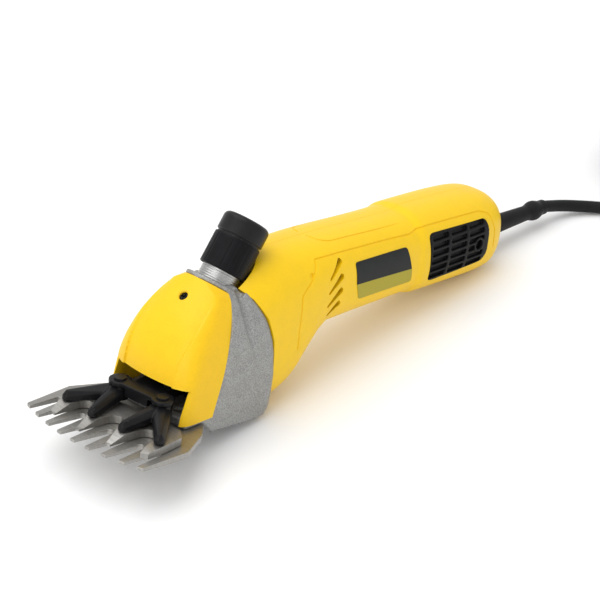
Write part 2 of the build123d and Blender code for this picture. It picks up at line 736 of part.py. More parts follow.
with BuildPart() as bridge:
    with BuildPart(mode=Mode.PRIVATE) as room:
        barrel(-shell - 0.15)
    turned(bridge_y0, bridge_y1, motor_z, 60)
    add(room.part, mode=Mode.INTERSECT)
    turned(bridge_y0 - 1, bridge_y1 + 1, motor_z, 9.52, mode=Mode.SUBTRACT)
    # room at the right for the switch rod, and air ways
    block(-30, -17.4, bridge_y0 - 1, bridge_y1 + 1, motor_z - 6.5, motor_z + 6.5, mode=Mode.SUBTRACT)
    with BuildSketch(station(bridge_y1 + 1)) as ways:
        with Locations((0, motor_z)):
            with PolarLocations(15.2, 4, start_angle=45):
                Circle(3.4)
    extrude(ways.sketch, amount=bridge_y1 - bridge_y0 + 2, mode=Mode.SUBTRACT)
save(bridge.part, "brush_bridge")

brush_y = (commutator_y0 + commutator_y1) / 2


def at_both_brushes(low, high, width, length, hollow_w=0.0, hollow_l=0.0):
    """Square pieces above and below the commutator, between two distances from its axis."""
    for side in (-1, 1):
        with BuildSketch(deck(motor_z + side * low)) as square:
            with Locations((0, brush_y)):
                Rectangle(width, length)
                if hollow_w > 0:
                    Rectangle(hollow_w, hollow_l, mode=Mode.SUBTRACT)
        extrude(square.sketch, amount=side * (high - low))


with BuildPart() as brushes:
    at_both_brushes(9.7, 15.0, 5.0, 7.0)
save(brushes.part, "carbon_brushes")

with BuildPart() as holders:
    at_both_brushes(10.8, 19.3, 7.2, 9.2, 5.1, 7.1)
save(holders.part, "brush_holders")

with BuildPart() as brush_springs:
    at_both_brushes(15.05, 19.2, 3.6, 3.6, 2.2, 2.2)
save(brush_springs.part, "brush_springs")

# ================================================================ housing
vent_slots = (((147.5, 59.0), (142.8, 50.0)), ((151.0, 50.8), (142.6, 43.2)),
              ((151.0, 43.6), (142.4, 36.3)), ((149.8, 37.0), (141.6, 31.0)))
grille_y0, grille_y1 = 219.0, 268.5
grille_z0, grille_z1 = 29.3, 57.0
screw_spots = ((131.0, 59.0), (112.8, -4.6), (209.5, 25.0), (274.5, 55.0), (274.5, 26.0))
slide_y0, slide_y1 = 164.0, 186.0     # thumb piece of the switch
slide_travel = 6.0
slide_z = 43.5
clamp_y = 283.0
lead_z = 34.5                         # height of the cord where it leaves the barrel
housing_front = [(60, -20), (60, 75), (82, 75), (82, 64), (84.7, 60), (92.2, 52), (98.7, 42),
                 (102.7, 30), (104.6, 12), (104.2, -7), (104.2, -20)]


def across(spots, x0, x1, radius, mode=Mode.ADD):
    """Round pieces lying across the tool at given (y, z) spots."""
    with BuildSketch(flank(x0)) as rounds:
        with Locations(*spots):
            Circle(radius)
    extrude(rounds.sketch, amount=x1 - x0, mode=mode)


def window(y0, y1, z0, z1, x0, x1, corner, mode=Mode.ADD):
    """Rounded rectangle in side view made solid from x0 to x1."""
    with BuildSketch(flank(x0)) as pane:
        with Locations(((y0 + y1) / 2, (z0 + z1) / 2)):
            RectangleRounded(y1 - y0, z1 - z0, corner)
    extrude(pane.sketch, amount=x1 - x0, mode=mode)


with BuildPart() as hollow_room:
    barrel(-shell)
    block(-30, 30, rear_wall, 300, 0, 80, mode=Mode.SUBTRACT)

# ribs that hold the stator, with a way through for the switch rod
with BuildPart() as stator_ribs:
    for rib_y in (core_y0 + 4, core_y1 - 6):
        turned(rib_y, rib_y + 2, motor_z, 32, stator_radius + 0.1)
    with BuildPart(mode=Mode.PRIVATE) as room:
        barrel(-shell + 0.3)
    add(room.part, mode=Mode.INTERSECT)
    block(-26, -10, core_y0, core_y1, slide_z - 4, slide_z + 4, mode=Mode.SUBTRACT)

with BuildPart() as whole_shell:
    barrel(0.0)
    side_slab(housing_front, -40, 40, mode=Mode.SUBTRACT)
    add(hollow_room.part, mode=Mode.SUBTRACT)
    add(stator_ribs.part)
    upright(tension(-45.0), 80.0, flange_radius + 0.3, mode=Mode.SUBTRACT)
    for side in (-1, 1):
        near, far = min(side * 12, side * 40), max(side * 12, side * 40)
        window(grille_y0, grille_y1, grille_z0, grille_z1, near, far, 4.0, mode=Mode.SUBTRACT)
        for upper, lower in vent_slots:
            run = (upper[0] - lower[0], upper[1] - lower[1])
            with BuildSketch(flank(near)) as slot:
                with Locations(((upper[0] + lower[0]) / 2, (upper[1] + lower[1]) / 2)):
                    SlotOverall(sqrt(run[0] ** 2 + run[1] ** 2) + 1.6, 2.4,
                                rotation=degrees(atan2(run[1], run[0])))
            extrude(slot.sketch, amount=far - near, mode=Mode.SUBTRACT)
    # way out for the cord's boot, slot for the switch
    turned(270, 300, lead_z, 6.6, mode=Mode.SUBTRACT)
    window(slide_y0 + 6, slide_y1 + slide_travel - 6, slide_z - 3, slide_z + 3, -40, -10, 2.0,
           mode=Mode.SUBTRACT)

for side, name in ((1, "left_housing"), (-1, "right_housing")):
    with BuildPart() as half:
        add(whole_shell.part)
        near, far = min(0, side * 60), max(0, side * 60)
        block(near, far, 60, 320, -40, 90, mode=Mode.INTERSECT)
        # screw bosses that meet at the middle
        with BuildPart(mode=Mode.PRIVATE) as bosses:
            across(screw_spots, min(0, side * 30), max(0, side * 30), 4.3)
            with BuildPart(mode=Mode.PRIVATE) as room:
                barrel(-shell + 0.3)
            add(room.part, mode=Mode.INTERSECT)
        add(bosses.part)
        across(screw_spots, -40, 12, 1.75, mode=Mode.SUBTRACT)
        if side < 0:
            across(screw_spots, -40, -10.55, 3.1, mode=Mode.SUBTRACT)
    save(half.part, name)

with BuildPart() as housing_screws:
    across(screw_spots, -13.0, -10.6, 3.0)
    across(screw_spots, -10.6, 9.0, 1.65)
save(housing_screws.part, "housing_screws")

with BuildPart() as skin:
    barrel(0.5)
    with BuildPart(mode=Mode.PRIVATE) as room:
        barrel(-2.2)
    add(room.part, mode=Mode.SUBTRACT)

for side, name in ((1, "left_grille"), (-1, "right_grille")):
    near, far = min(side * 12, side * 40), max(side * 12, side * 40)
    with BuildPart() as grille:
        add(skin.part)
        window(grille_y0 + 0.1, grille_y1 - 0.1, grille_z0 + 0.1, grille_z1 - 0.1, near, far, 4.0,
               mode=Mode.INTERSECT)
        with BuildSketch(flank(near)) as bars:
            with Locations(((grille_y0 + grille_y1) / 2, (grille_z0 + grille_z1) / 2)):
                with GridLocations(15.2, 4.3, 3, 6):
                    SlotOverall(13.0, 2.5)
        extrude(bars.sketch, amount=far - near, mode=Mode.SUBTRACT)
        across(((grille_y1 - 6.5, 41.2),), near, far, 4.0)
        with BuildPart(mode=Mode.PRIVATE) as room:
            barrel(0.5)
        add(room.part, mode=Mode.INTERSECT)
        across(((grille_y1 - 6.5, 41.2),), near, far, 1.3, mode=Mode.SUBTRACT)
        recess = sorted((side * 19.55, side * 40))
        across(((grille_y1 - 6.5, 41.2),), *recess, 2.7, mode=Mode.SUBTRACT)
        window(grille_y0, grille_y1, grille_z0, grille_z1, -18, 18, 4.0, mode=Mode.SUBTRACT)
    save(grille.part, name)

with BuildPart() as label_plate:
    barrel(0.3)
    with BuildPart(mode=Mode.PRIVATE) as body:
        barrel(0.0)
    add(body.part, mode=Mode.SUBTRACT)
    window(160.0, 205.0, 34.4, 55.2, 10, 40, 3.0, mode=Mode.INTERSECT)
save(label_plate.part, "rating_plate")

with BuildPart() as grille_screws:
    for side in (-1, 1):
        x0, x1 = (19.6, 20.9) if side > 0 else (-20.9, -19.6)
        across(((grille_y1 - 6.5, 41.2),), x0, x1, 2.6)
        x0, x1 = (14.5, 19.6) if side > 0 else (-19.6, -14.5)
        across(((grille_y1 - 6.5, 41.2),), x0, x1, 1.2)
save(grille_screws.part, "grille_screws")

# ================================================================ switch and wiring
with BuildPart() as slide_button:
    window(slide_y0, slide_y1, slide_z - 5.5, slide_z + 5.5, -26.0, -23.1, 3.0)
    for i in range(5):
        y = (slide_y0 + slide_y1) / 2 + 3.2 * (i - 2)
        block(-27, -25.3, y - 0.6, y + 0.6, slide_z - 4.2, slide_z + 4.2, mode=Mode.SUBTRACT)
    window(slide_y0 + 7, slide_y1 - 7, slide_z - 2.5, slide_z + 2.5, -23.2, -19.3, 1.5)
save(slide_button.part, "slide_button")

with BuildPart() as slide_rod:
    block(-19.3, -17.9, slide_y0 + 2, 250.0, slide_z - 3.0, slide_z + 3.0)
    block(-19.3, -12.3, 247.0, 250.0, slide_z - 3.0, slide_z + 3.0)
save(slide_rod.part, "slide_rod")

with BuildPart() as switch_body:
    block(-12.0, -1.0, 245.0, 268.0, slide_z - 6, slide_z + 8)
    fillet(switch_body.edges().filter_by(Axis(at(0, 0, 0), tool_up)), 1.0)
save(switch_body.part, "switch_body")

with BuildPart() as capacitor:
    block(2.0, 11.0, 246.0, 264.0, 36.0, 50.0)
    fillet(capacitor.edges(), 1.0)
save(capacitor.part, "suppression_capacitor")

clamp_holes = [(x, clamp_y - 2) for x in (-8.0, 8.0)]

with BuildPart() as cord_clamp:
    block(-11.0, 11.0, clamp_y - 4, clamp_y, lead_z + 3.5, lead_z + 6.0)
    upright(deck(lead_z + 3), 4, 1.4, places=clamp_holes, mode=Mode.SUBTRACT)
save(cord_clamp.part, "cord_clamp")

with BuildPart() as clamp_screws:
    upright(deck(lead_z + 6.0), 1.8, 2.6, places=clamp_holes)
    upright(deck(lead_z - 7.0), 13.0, 1.3, places=clamp_holes)
save(clamp_screws.part, "clamp_screws")

with BuildPart() as clamp_seat:
    block(-25.0, 25.0, clamp_y - 4, clamp_y, lead_z - 7.0, lead_z - 3.5)
    with BuildPart(mode=Mode.PRIVATE) as room:
        barrel(-shell - 0.1)
    add(room.part, mode=Mode.INTERSECT)
    upright(deck(lead_z - 8.0), 12, 1.35, places=clamp_holes, mode=Mode.SUBTRACT)
save(clamp_seat.part, "clamp_seat")

# ================================================================ boot and cord
boot_root = at(-1.5, 276.0, 33.1)
boot_exit = at(6.4, 343.5, 39.4)
boot_axis = (boot_exit - boot_root).normalized()


def along_boot(distance):
    """Plane square to the boot, distance from its root."""
    return Plane(origin=boot_root + boot_axis * distance, x_dir=(1, 0, 0), z_dir=boot_axis)


boot_full = (boot_exit - boot_root).length

with BuildPart() as boot:
    upright(along_boot(8.5), 2.5, 8.6)
    upright(along_boot(10.9), 4.1, 6.0)
    with BuildSketch(along_boot(15.0)):
        Circle(6.0)
    with BuildSketch(along_boot(boot_full - 14.0)):
        Circle(4.5)
    loft()
    upright(along_boot(boot_full - 14.0), 14.0, 4.4)
    with BuildSketch(along_boot(boot_full - 13.0)):
        Circle(5.5)
    extrude(amount=8.0)
save(boot.part, "cord_boot")

with BuildPart() as inner_lead:
    turned(269.5, 283.9, lead_z, cord_radius)
save(inner_lead.part, "inner_lead")

coil_middle = (35.0, 310.0)
coil_inner, coil_outer = 32.4, 53.6
coil_low, coil_high = 1.2, 21.6

# places the cord passes, on the table's own axes
table = cord_radius + 0.02
route = [
    tuple(boot_exit),
    (8.7, 208.5, 7.1),
    (14.6, 218.7, 4.7),
    (23.5, 227.0, 3.6),
    (34.2, 233.2, table),
    (44.9, 239.1, table),
    (54.5, 246.6, table),
    (62.0, 256.2, table),
    (68.3, 266.7, 3.8),
    (73.5, 277.9, 4.8),
]


def bend_radii(points):
    """Arc for each corner: 0.45 of the shorter run over the tangent of half the turn."""
    radii = []
    for before, corner, after in zip(points, points[1:], points[2:]):
        arriving = Vector(*corner) - Vector(*before)
        leaving = Vector(*after) - Vector(*corner)
        half_turn = radians(arriving.get_angle(leaving)) / 2
        radii.append(0.45 * min(arriving.length, leaving.length) / tan(half_turn))
    return radii


radii = bend_radii(route)
print("cord bend radii", [round(r, 1) for r in radii])

with BuildPart() as cord:
    with BuildLine() as path:
        FilletPolyline(*route, radius=radii)
    with BuildSketch(Plane(origin=path.line @ 0, z_dir=path.line % 0)):
        Circle(cord_radius)
    sweep(path=path.line)
save(cord.part, "cord")
tube_length = sum(edge.length for edge in path.edges())
print("cord tube volume over section times length", cord.part.volume / (pi * cord_radius**2 * tube_length))

with BuildPart() as cord_coil:
    with BuildSketch(Plane.XY.offset(coil_low)):
        with Locations(coil_middle):
            Circle(coil_outer)
            Circle(coil_inner, mode=Mode.SUBTRACT)
    extrude(amount=coil_high - coil_low)
    fillet(cord_coil.edges().filter_by(GeomType.CIRCLE), 3.0)
save(cord_coil.part, "cord_coil")

with BuildPart() as coil_tie:
    middle = ((coil_inner + coil_outer) / 2, (coil_low + coil_high) / 2)
    c, s = cos(radians(-25)), sin(radians(-25))
    band = Plane(origin=(*coil_middle, 0), x_dir=(c, s, 0), z_dir=(s, -c, 0))
    with BuildSketch(band.offset(-4.0)):
        with Locations(middle):
            Rectangle(coil_outer - coil_inner + 2.4, coil_high - coil_low + 2.4)
            Rectangle(coil_outer - coil_inner + 0.8, coil_high - coil_low + 0.1, mode=Mode.SUBTRACT)
    extrude(amount=8.0)
save(coil_tie.part, "coil_tie")

# plug lying on the rear of the coil, its pins towards the tool's right
plug_entry = coil_middle[0] + 8.0     # where the cord goes in
plug_y = coil_middle[1] + 36.0
plug_z = coil_high + 8.0


def plug_plane(depth):
    """Plane square to the plug, facing its pins, depth beyond the cord's entry."""
    return Plane(origin=(plug_entry - depth, plug_y, plug_z), x_dir=(0, 1, 0), z_dir=(-1, 0, 0))


with BuildPart() as plug_body:
    with BuildSketch(plug_plane(0.0)):
        Circle(4.4)
    with BuildSketch(plug_plane(16.0)):
        Circle(6.0)
    loft()
    with BuildSketch(plug_plane(16.0)):
        RectangleRounded(17.0, 13.0, 5.0)
    with BuildSketch(plug_plane(36.0)):
        RectangleRounded(35.0, 15.8, 6.0)
    loft()
    with BuildSketch(plug_plane(36.0)):
        RectangleRounded(35.0, 15.8, 6.0)
    extrude(amount=6.0)
save(plug_body.part, "plug_body")

with BuildPart() as plug_pins:
    with BuildSketch(plug_plane(42.0)):
        with Locations((-9.5, 0), (9.5, 0)):
            Circle(2.0)
    extrude(amount=19.0)
save(plug_pins.part, "plug_pins")
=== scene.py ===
import json
from math import atan, cos, hypot, pi, radians, sin

import bmesh
import bpy
import numpy as np
from mathutils import Matrix, Vector


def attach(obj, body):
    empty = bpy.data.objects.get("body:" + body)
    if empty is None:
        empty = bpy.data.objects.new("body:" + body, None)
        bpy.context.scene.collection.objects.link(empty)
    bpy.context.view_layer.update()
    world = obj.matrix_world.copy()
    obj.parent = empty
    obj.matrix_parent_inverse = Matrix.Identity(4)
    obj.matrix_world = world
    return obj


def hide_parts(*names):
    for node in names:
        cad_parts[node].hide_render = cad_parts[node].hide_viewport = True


# Electric sheep shears: the looks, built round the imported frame.
#
# Shapes are given on the tool's own axes, in millimetres, as in the CAD source:
#   x  across the tool, + to its left
#   y  lengthwise, 0 at the tip of the comb's middle tooth, + to the rear
#   z  square to the comb, 0 at the comb's top face
# TOOL turns them into the frame, in metres.

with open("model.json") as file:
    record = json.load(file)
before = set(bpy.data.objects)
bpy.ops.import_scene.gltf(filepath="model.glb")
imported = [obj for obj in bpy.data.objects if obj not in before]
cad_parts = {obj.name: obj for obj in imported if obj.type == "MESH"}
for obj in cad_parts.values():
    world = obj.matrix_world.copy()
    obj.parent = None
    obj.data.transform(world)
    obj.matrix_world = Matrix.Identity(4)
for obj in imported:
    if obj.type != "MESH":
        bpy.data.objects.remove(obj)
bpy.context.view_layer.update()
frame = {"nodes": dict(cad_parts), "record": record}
MM = 0.001

# ---------------------------------------------------------------- resting attitude
heel_y, heel_z = 112.0, -10.4
rear_y, rear_z = 279.0, 18.2
middle_y = 147.5
tilt = atan((rear_z - heel_z) / (rear_y - heel_y))
lift = heel_y * sin(tilt) - heel_z * cos(tilt)

TABLE = Matrix.Scale(MM, 4)
TOOL = TABLE @ Matrix.Translation((0, -middle_y, lift)) @ Matrix.Rotation(-tilt, 4, "X")

# ---------------------------------------------------------------- fork and tension axes
pivot_y = 70.0
swing = radians(4.7)
knob_y, knob_z = 89.1, 60.45
tension_lean = radians(34.7)
SWUNG = TOOL @ Matrix.Translation((0, pivot_y, 0)) @ Matrix.Rotation(swing, 4, "Z")
TENSION = TOOL @ Matrix.Translation((0, knob_y, knob_z)) @ Matrix.Rotation(-tension_lean, 4, "X")

# ---------------------------------------------------------------- cord
boot_root = (-1.5, 276.0, 33.1)
boot_end = (6.4, 343.5, 39.4)
boot_way = Vector(boot_end) - Vector(boot_root)
BOOT = TOOL @ Matrix.Translation(boot_root) @ boot_way.to_track_quat("Z", "Y").to_matrix().to_4x4()
cord_diameter = 6.8
coil_middle = (35.0, 310.0)
coil_radii = (35.8, 43.0, 50.2)
coil_levels = (4.6, 11.4, 18.2)


# ================================================================ camera
focal_length, sensor_width = 116.058, 36.0
camera_place = (0.56852665, -0.5937902, 0.53041348)
camera_right = Vector((0.73178267, 0.68129063, -0.01836306))
camera_up = Vector((-0.34004929, 0.38833619, 0.85648204))


def make_camera():
    """The camera at the photograph's place and angle."""
    data = bpy.data.cameras.new("camera")
    data.lens, data.sensor_width = focal_length, sensor_width
    data.clip_start, data.clip_end = 0.01, 20.0
    camera = bpy.data.objects.new("camera", data)
    bpy.context.scene.collection.objects.link(camera)
    camera_back = camera_right.cross(camera_up)
    place = Matrix((camera_right, camera_up, camera_back)).transposed().to_4x4()
    place.translation = camera_place
    camera.matrix_world = place
    bpy.context.scene.camera = camera


make_camera()


# ================================================================ materials
def node_of(tree, kind, **settings):
    node = tree.nodes.new(kind)
    for name, value in settings.items():
        setattr(node, name, value)
    return node


wear_range = (0.54, 0.62)    # pointiness at which an edge starts to wear, and is worn bare


def surface(name, colour, rough, metallic=0.0, coat=0.0, spread=0.06, mottle_mm=6.0, grain_mm=0.4,
            grain=0.1, grain_depth=0.05, stretch=(1, 1, 1), wear=None, sheen=0.0, specular=0.5):
    """A moulded, cast or ground surface: mottled colour, uneven roughness, fine grain and worn edges."""
    material = bpy.data.materials.new(name)
    material.use_nodes = True
    tree = material.node_tree
    tree.nodes.clear()
    out = node_of(tree, "ShaderNodeOutputMaterial")
    shader = node_of(tree, "ShaderNodeBsdfPrincipled")
    tree.links.new(shader.outputs["BSDF"], out.inputs["Surface"])
    shader.inputs["Metallic"].default_value = metallic
    shader.inputs["Coat Weight"].default_value = coat
    shader.inputs["Coat Roughness"].default_value = 0.12
    shader.inputs["Sheen Weight"].default_value = sheen
    shader.inputs["Specular IOR Level"].default_value = specular
    where = node_of(tree, "ShaderNodeTexCoord")
    mapping = node_of(tree, "ShaderNodeMapping")
    mapping.inputs["Scale"].default_value = stretch
    tree.links.new(where.outputs["Object"], mapping.inputs["Vector"])

    def noise(size_mm, detail):
        texture = node_of(tree, "ShaderNodeTexNoise")
        texture.inputs["Scale"].default_value = 1.0 / (size_mm * MM)
        texture.inputs["Detail"].default_value = detail
        tree.links.new(mapping.outputs["Vector"], texture.inputs["Vector"])
        return texture.outputs["Fac"]

    mottle, fine = noise(mottle_mm, 4.0), noise(grain_mm, 3.0)
    ramp = node_of(tree, "ShaderNodeValToRGB")
    low, high = ramp.color_ramp.elements
    low.position, high.position = 0.3, 0.7
    low.color = (*[c * (1 - spread) for c in colour], 1)
    high.color = (*[min(1.0, c * (1 + spread)) for c in colour], 1)
    tree.links.new(mottle, ramp.inputs["Fac"])
    tint = ramp.outputs["Color"]
    if grain > 0:
        speckle = node_of(tree, "ShaderNodeMapRange")
        speckle.inputs["From Min"].default_value = 0.35
        speckle.inputs["From Max"].default_value = 0.65
        speckle.inputs["To Min"].default_value = 1 - grain
        speckle.inputs["To Max"].default_value = 1 + grain
        tree.links.new(fine, speckle.inputs["Value"])
        shade = node_of(tree, "ShaderNodeVectorMath", operation="SCALE")
        tree.links.new(tint, shade.inputs[0])
        tree.links.new(speckle.outputs["Result"], shade.inputs["Scale"])
        tint = shade.outputs["Vector"]
    if wear is not None:
        edges = node_of(tree, "ShaderNodeNewGeometry")
        worn = node_of(tree, "ShaderNodeMapRange")
        worn.inputs["From Min"].default_value, worn.inputs["From Max"].default_value = wear_range
        tree.links.new(edges.outputs["Pointiness"], worn.inputs["Value"])
        broken = node_of(tree, "ShaderNodeMath", operation="MULTIPLY")
        tree.links.new(worn.outputs["Result"], broken.inputs[0])
        tree.links.new(mottle, broken.inputs[1])
        mix = node_of(tree, "ShaderNodeMix", data_type="RGBA")
        mix.inputs["B"].default_value = (*wear, 1)
        tree.links.new(broken.outputs["Value"], mix.inputs["Factor"])
        tree.links.new(tint, mix.inputs["A"])
        tint = mix.outputs["Result"]
    tree.links.new(tint, shader.inputs["Base Color"])
    uneven = node_of(tree, "ShaderNodeMapRange")
    uneven.inputs["To Min"].default_value = rough * 0.85
    uneven.inputs["To Max"].default_value = min(1.0, rough * 1.15)
    tree.links.new(mottle, uneven.inputs["Value"])
    tree.links.new(uneven.outputs["Result"], shader.inputs["Roughness"])
    bump = node_of(tree, "ShaderNodeBump")
    bump.inputs["Strength"].default_value = 1.0
    bump.inputs["Distance"].default_value = grain_depth * MM
    tree.links.new(fine, bump.inputs["Height"])
    tree.links.new(bump.outputs["Normal"], shader.inputs["Normal"])
    return material


def label_surface():
    """Printed foil: dark grey above, olive yellow below, split a little below the middle."""
    material = surface("label", (0.014, 0.016, 0.016), 0.42, coat=0.03, spread=0.15, grain=0.06,
                       grain_depth=0.01, specular=0.15)
    tree = material.node_tree
    shader = next(n for n in tree.nodes if n.type == "BSDF_PRINCIPLED")
    dark = shader.inputs["Base Color"].links[0].from_socket
    where = next(n for n in tree.nodes if n.type == "TEX_COORD")
    # height over the line where the two colours meet
    split, split_end = (TOOL @ Vector(spot) for spot in ((0, 163.3, 43.0), (0, 206.8, 40.6)))
    along = (split_end - split).normalized()
    across = Vector((1, 0, 0)).cross(along)
    lifted = node_of(tree, "ShaderNodeVectorMath", operation="SUBTRACT")
    lifted.inputs[1].default_value = split
    height = node_of(tree, "ShaderNodeVectorMath", operation="DOT_PRODUCT")
    height.inputs[1].default_value = across
    above = node_of(tree, "ShaderNodeMath", operation="GREATER_THAN")
    above.inputs[1].default_value = 0.0
    tree.links.new(where.outputs["Object"], lifted.inputs[0])
    tree.links.new(lifted.outputs["Vector"], height.inputs[0])
    tree.links.new(height.outputs["Value"], above.inputs[0])
    mix = node_of(tree, "ShaderNodeMix", data_type="RGBA")
    mix.inputs["A"].default_value = (0.40, 0.34, 0.035, 1)
    tree.links.new(above.outputs["Value"], mix.inputs["Factor"])
    tree.links.new(dark, mix.inputs["B"])
    tree.links.new(mix.outputs["Result"], shader.inputs["Base Color"])
    return material


finish_of = {
    "housing_yellow": surface("housing_yellow", (0.90, 0.575, 0.004), 0.40, coat=0.04, spread=0.02,
                              grain=0.02, grain_mm=0.7, grain_depth=0.012, wear=(0.94, 0.66, 0.03),
                              specular=0.3),
    "cover_yellow": surface("cover_yellow", (0.88, 0.54, 0.006), 0.44, coat=0.03, spread=0.02, grain=0.03,
                            grain_mm=0.6, grain_depth=0.02, wear=(0.93, 0.65, 0.04), specular=0.28),
    "cast_aluminium": surface("cast_aluminium", (0.31, 0.312, 0.305), 0.52, metallic=0.5, spread=0.08,
                              mottle_mm=5.0, grain_mm=0.6, grain=0.26, grain_depth=0.12,
                              wear=(0.60, 0.60, 0.60)),
    "black_plastic": surface("black_plastic", (0.006, 0.006, 0.007), 0.42, spread=0.2, grain=0.1,
                             grain_mm=0.5, grain_depth=0.03, wear=(0.03, 0.03, 0.03), specular=0.12),
    "knob_grey": surface("knob_grey", (0.013, 0.013, 0.013), 0.34, spread=0.2, grain=0.1,
                         grain_mm=0.4, grain_depth=0.02, wear=(0.08, 0.08, 0.08), specular=0.18),
    "black_steel": surface("black_steel", (0.008, 0.008, 0.009), 0.33, coat=0.04, spread=0.2,
                           grain=0.15, grain_mm=0.4, grain_depth=0.02, wear=(0.06, 0.06, 0.06),
                           specular=0.16),
    "comb_steel": surface("comb_steel", (0.33, 0.32, 0.30), 0.38, metallic=0.85, spread=0.10, mottle_mm=9.0,
                          grain_mm=0.25, grain=0.12, grain_depth=0.02, stretch=(1, 9, 1),
                          wear=(0.8, 0.79, 0.77)),
    "plain_steel": surface("plain_steel", (0.42, 0.42, 0.41), 0.34, metallic=0.9, spread=0.1,
                           grain_mm=0.25, grain=0.12, grain_depth=0.02, stretch=(6, 1, 6),
                           wear=(0.75, 0.75, 0.75)),
    "core_steel": surface("core_steel", (0.16, 0.16, 0.17), 0.45, metallic=0.8, spread=0.12,
                          grain_mm=0.5, grain=0.25, grain_depth=0.05, stretch=(0.2, 5, 0.2)),
    "copper": surface("copper", (0.60, 0.22, 0.07), 0.3, metallic=0.85, coat=0.3, spread=0.15,
                      grain_mm=0.5, grain=0.25, grain_depth=0.08, stretch=(1, 4, 4)),
    "graphite": surface("graphite", (0.03, 0.03, 0.032), 0.6, spread=0.2, grain=0.2),
    "plate_aluminium": surface("plate_aluminium", (0.5, 0.5, 0.5), 0.38, metallic=0.85, spread=0.06,
                               grain_mm=0.3, grain=0.15, grain_depth=0.03),
    "brown_board": surface("brown_board", (0.10, 0.035, 0.015), 0.5, spread=0.2, grain=0.2,
                           grain_depth=0.04),
    "capacitor_yellow": surface("capacitor_yellow", (0.6, 0.32, 0.02), 0.25, coat=0.5, spread=0.1),
    "label": label_surface(),
    "boot_rubber": surface("boot_rubber", (0.009, 0.009, 0.010), 0.46, spread=0.2, grain=0.1,
                           grain_mm=0.5, grain_depth=0.03, sheen=0.03, specular=0.14),
    "cord_rubber": surface("cord_rubber", (0.009, 0.009, 0.010), 0.44, spread=0.2, grain=0.1,
                           grain_mm=0.6, grain_depth=0.03, sheen=0.03, specular=0.14),
    "tie_plastic": surface("tie_plastic", (0.016, 0.016, 0.016), 0.55, spread=0.2, grain=0.3,
                           grain_mm=0.5, grain_depth=0.08),
    "plug_brass": surface("plug_brass", (0.62, 0.52, 0.30), 0.3, metallic=0.9, spread=0.08,
                          grain_mm=0.3, grain=0.1, grain_depth=0.01),
}


# ================================================================ mesh helpers
merge_mm = 0.004
sharp_degrees = 32


def new_object(name, mesh):
    piece = bpy.data.objects.new(name, mesh)
    bpy.context.scene.collection.objects.link(piece)
    return piece


def solid(name, points, faces, place=TOOL):
    """A closed mesh from points on the given axes, its faces turned outwards."""
    mesh = bpy.data.meshes.new(name)
    mesh.from_pydata([tuple(p) for p in points], [], faces)
    mesh.transform(place)
    shape = bmesh.new()
    shape.from_mesh(mesh)
    bmesh.ops.recalc_face_normals(shape, faces=shape.faces)
    shape.to_mesh(mesh)
    shape.free()
    return new_object(name, mesh)


def rings(name, loops, place=TOOL):
    """A solid through closed loops of equally many points, capped at both ends."""
    count = len(loops[0])
    points = [p for loop in loops for p in loop]
    faces = []
    for i in range(len(loops) - 1):
        for j in range(count):
            a, b = i * count + j, i * count + (j + 1) % count
            faces.append((a, b, b + count, a + count))
    faces.append(tuple(range(count)))
    faces.append(tuple(range((len(loops) - 1) * count, len(loops) * count)))
    return solid(name, points, faces, place)


def prism(name, outline, low, high, place=TOOL, axis="x"):
    """An outline made solid between two places on an axis: (y, z) along x, or (x, y) along z."""
    if axis == "x":
        loops = [[(at, u, v) for u, v in outline] for at in (low, high)]
    else:
        loops = [[(u, v, at) for u, v in outline] for at in (low, high)]
    return rings(name, loops, place)


def circle(radius, count, centre=(0, 0)):
    return [(centre[0] + radius * cos(2 * pi * i / count), centre[1] + radius * sin(2 * pi * i / count))
            for i in range(count)]


def rounded(u0, u1, v0, v1, corner, steps=6):
    """Outline of a rectangle with round corners."""
    outline = []
    for cu, cv, start in ((u1, v1, 0), (u0, v1, 90), (u0, v0, 180), (u1, v0, 270)):
        cu += -corner if cu == u1 else corner
        cv += -corner if cv == v1 else corner
        for i in range(steps + 1):
            a = radians(start + 90 * i / steps)
            outline.append((cu + corner * cos(a), cv + corner * sin(a)))
    return outline


def lathe(name, profile, place, count=72, ripple=None):
    """A turned solid: profile is (radius, height) from the bottom's middle to the top's middle."""
    loops = []
    for radius, height in profile:
        loop = []
        for i in range(count):
            a = 2 * pi * i / count
            r = radius * (1 if ripple is None else ripple(a, height))
            loop.append((r * cos(a), r * sin(a), height))
        loops.append(loop)
    return rings(name, loops, place)


def tube(name, path, radius, sides):
    """A round bar along a path of points; radius is a number or one for each point."""
    path = [Vector(p) for p in path]
    radii = [radius] * len(path) if isinstance(radius, (int, float)) else radius
    normal = None
    loops = []
    for i, point in enumerate(path):
        before = path[max(i - 1, 0)]
        after = path[min(i + 1, len(path) - 1)]
        along = (after - before).normalized()
        if normal is None:
            normal = along.orthogonal().normalized()
        normal = (normal - along * normal.dot(along)).normalized()
        side = along.cross(normal)
        loops.append([point + (normal * u + side * v) * radii[i] for u, v in circle(1.0, sides)])
    return rings(name, loops)


def joined(name, parts):
    """Several meshes as one object."""
    shape = bmesh.new()
    for part in parts:
        shape.from_mesh(part.data)
        bpy.data.objects.remove(part)
    mesh = bpy.data.meshes.new(name)
    shape.to_mesh(mesh)
    shape.free()
    return new_object(name, mesh)


def settled(piece):
    """The piece with its modifiers applied."""
    bpy.context.view_layer.update()
    graph = bpy.context.evaluated_depsgraph_get()
    mesh = bpy.data.meshes.new_from_object(piece.evaluated_get(graph))
    piece.modifiers.clear()
    piece.data = mesh
    return piece


def carve(piece, tools, operation="DIFFERENCE", keep=False):
    """Cut, join or intersect a solid with others, which are used up."""
    for tool in tools:
        step = piece.modifiers.new("carve", "BOOLEAN")
        step.operation, step.solver, step.object = operation, "MANIFOLD", tool
    settled(piece)
    if not keep:
        for tool in tools:
            bpy.data.objects.remove(tool)
    return piece


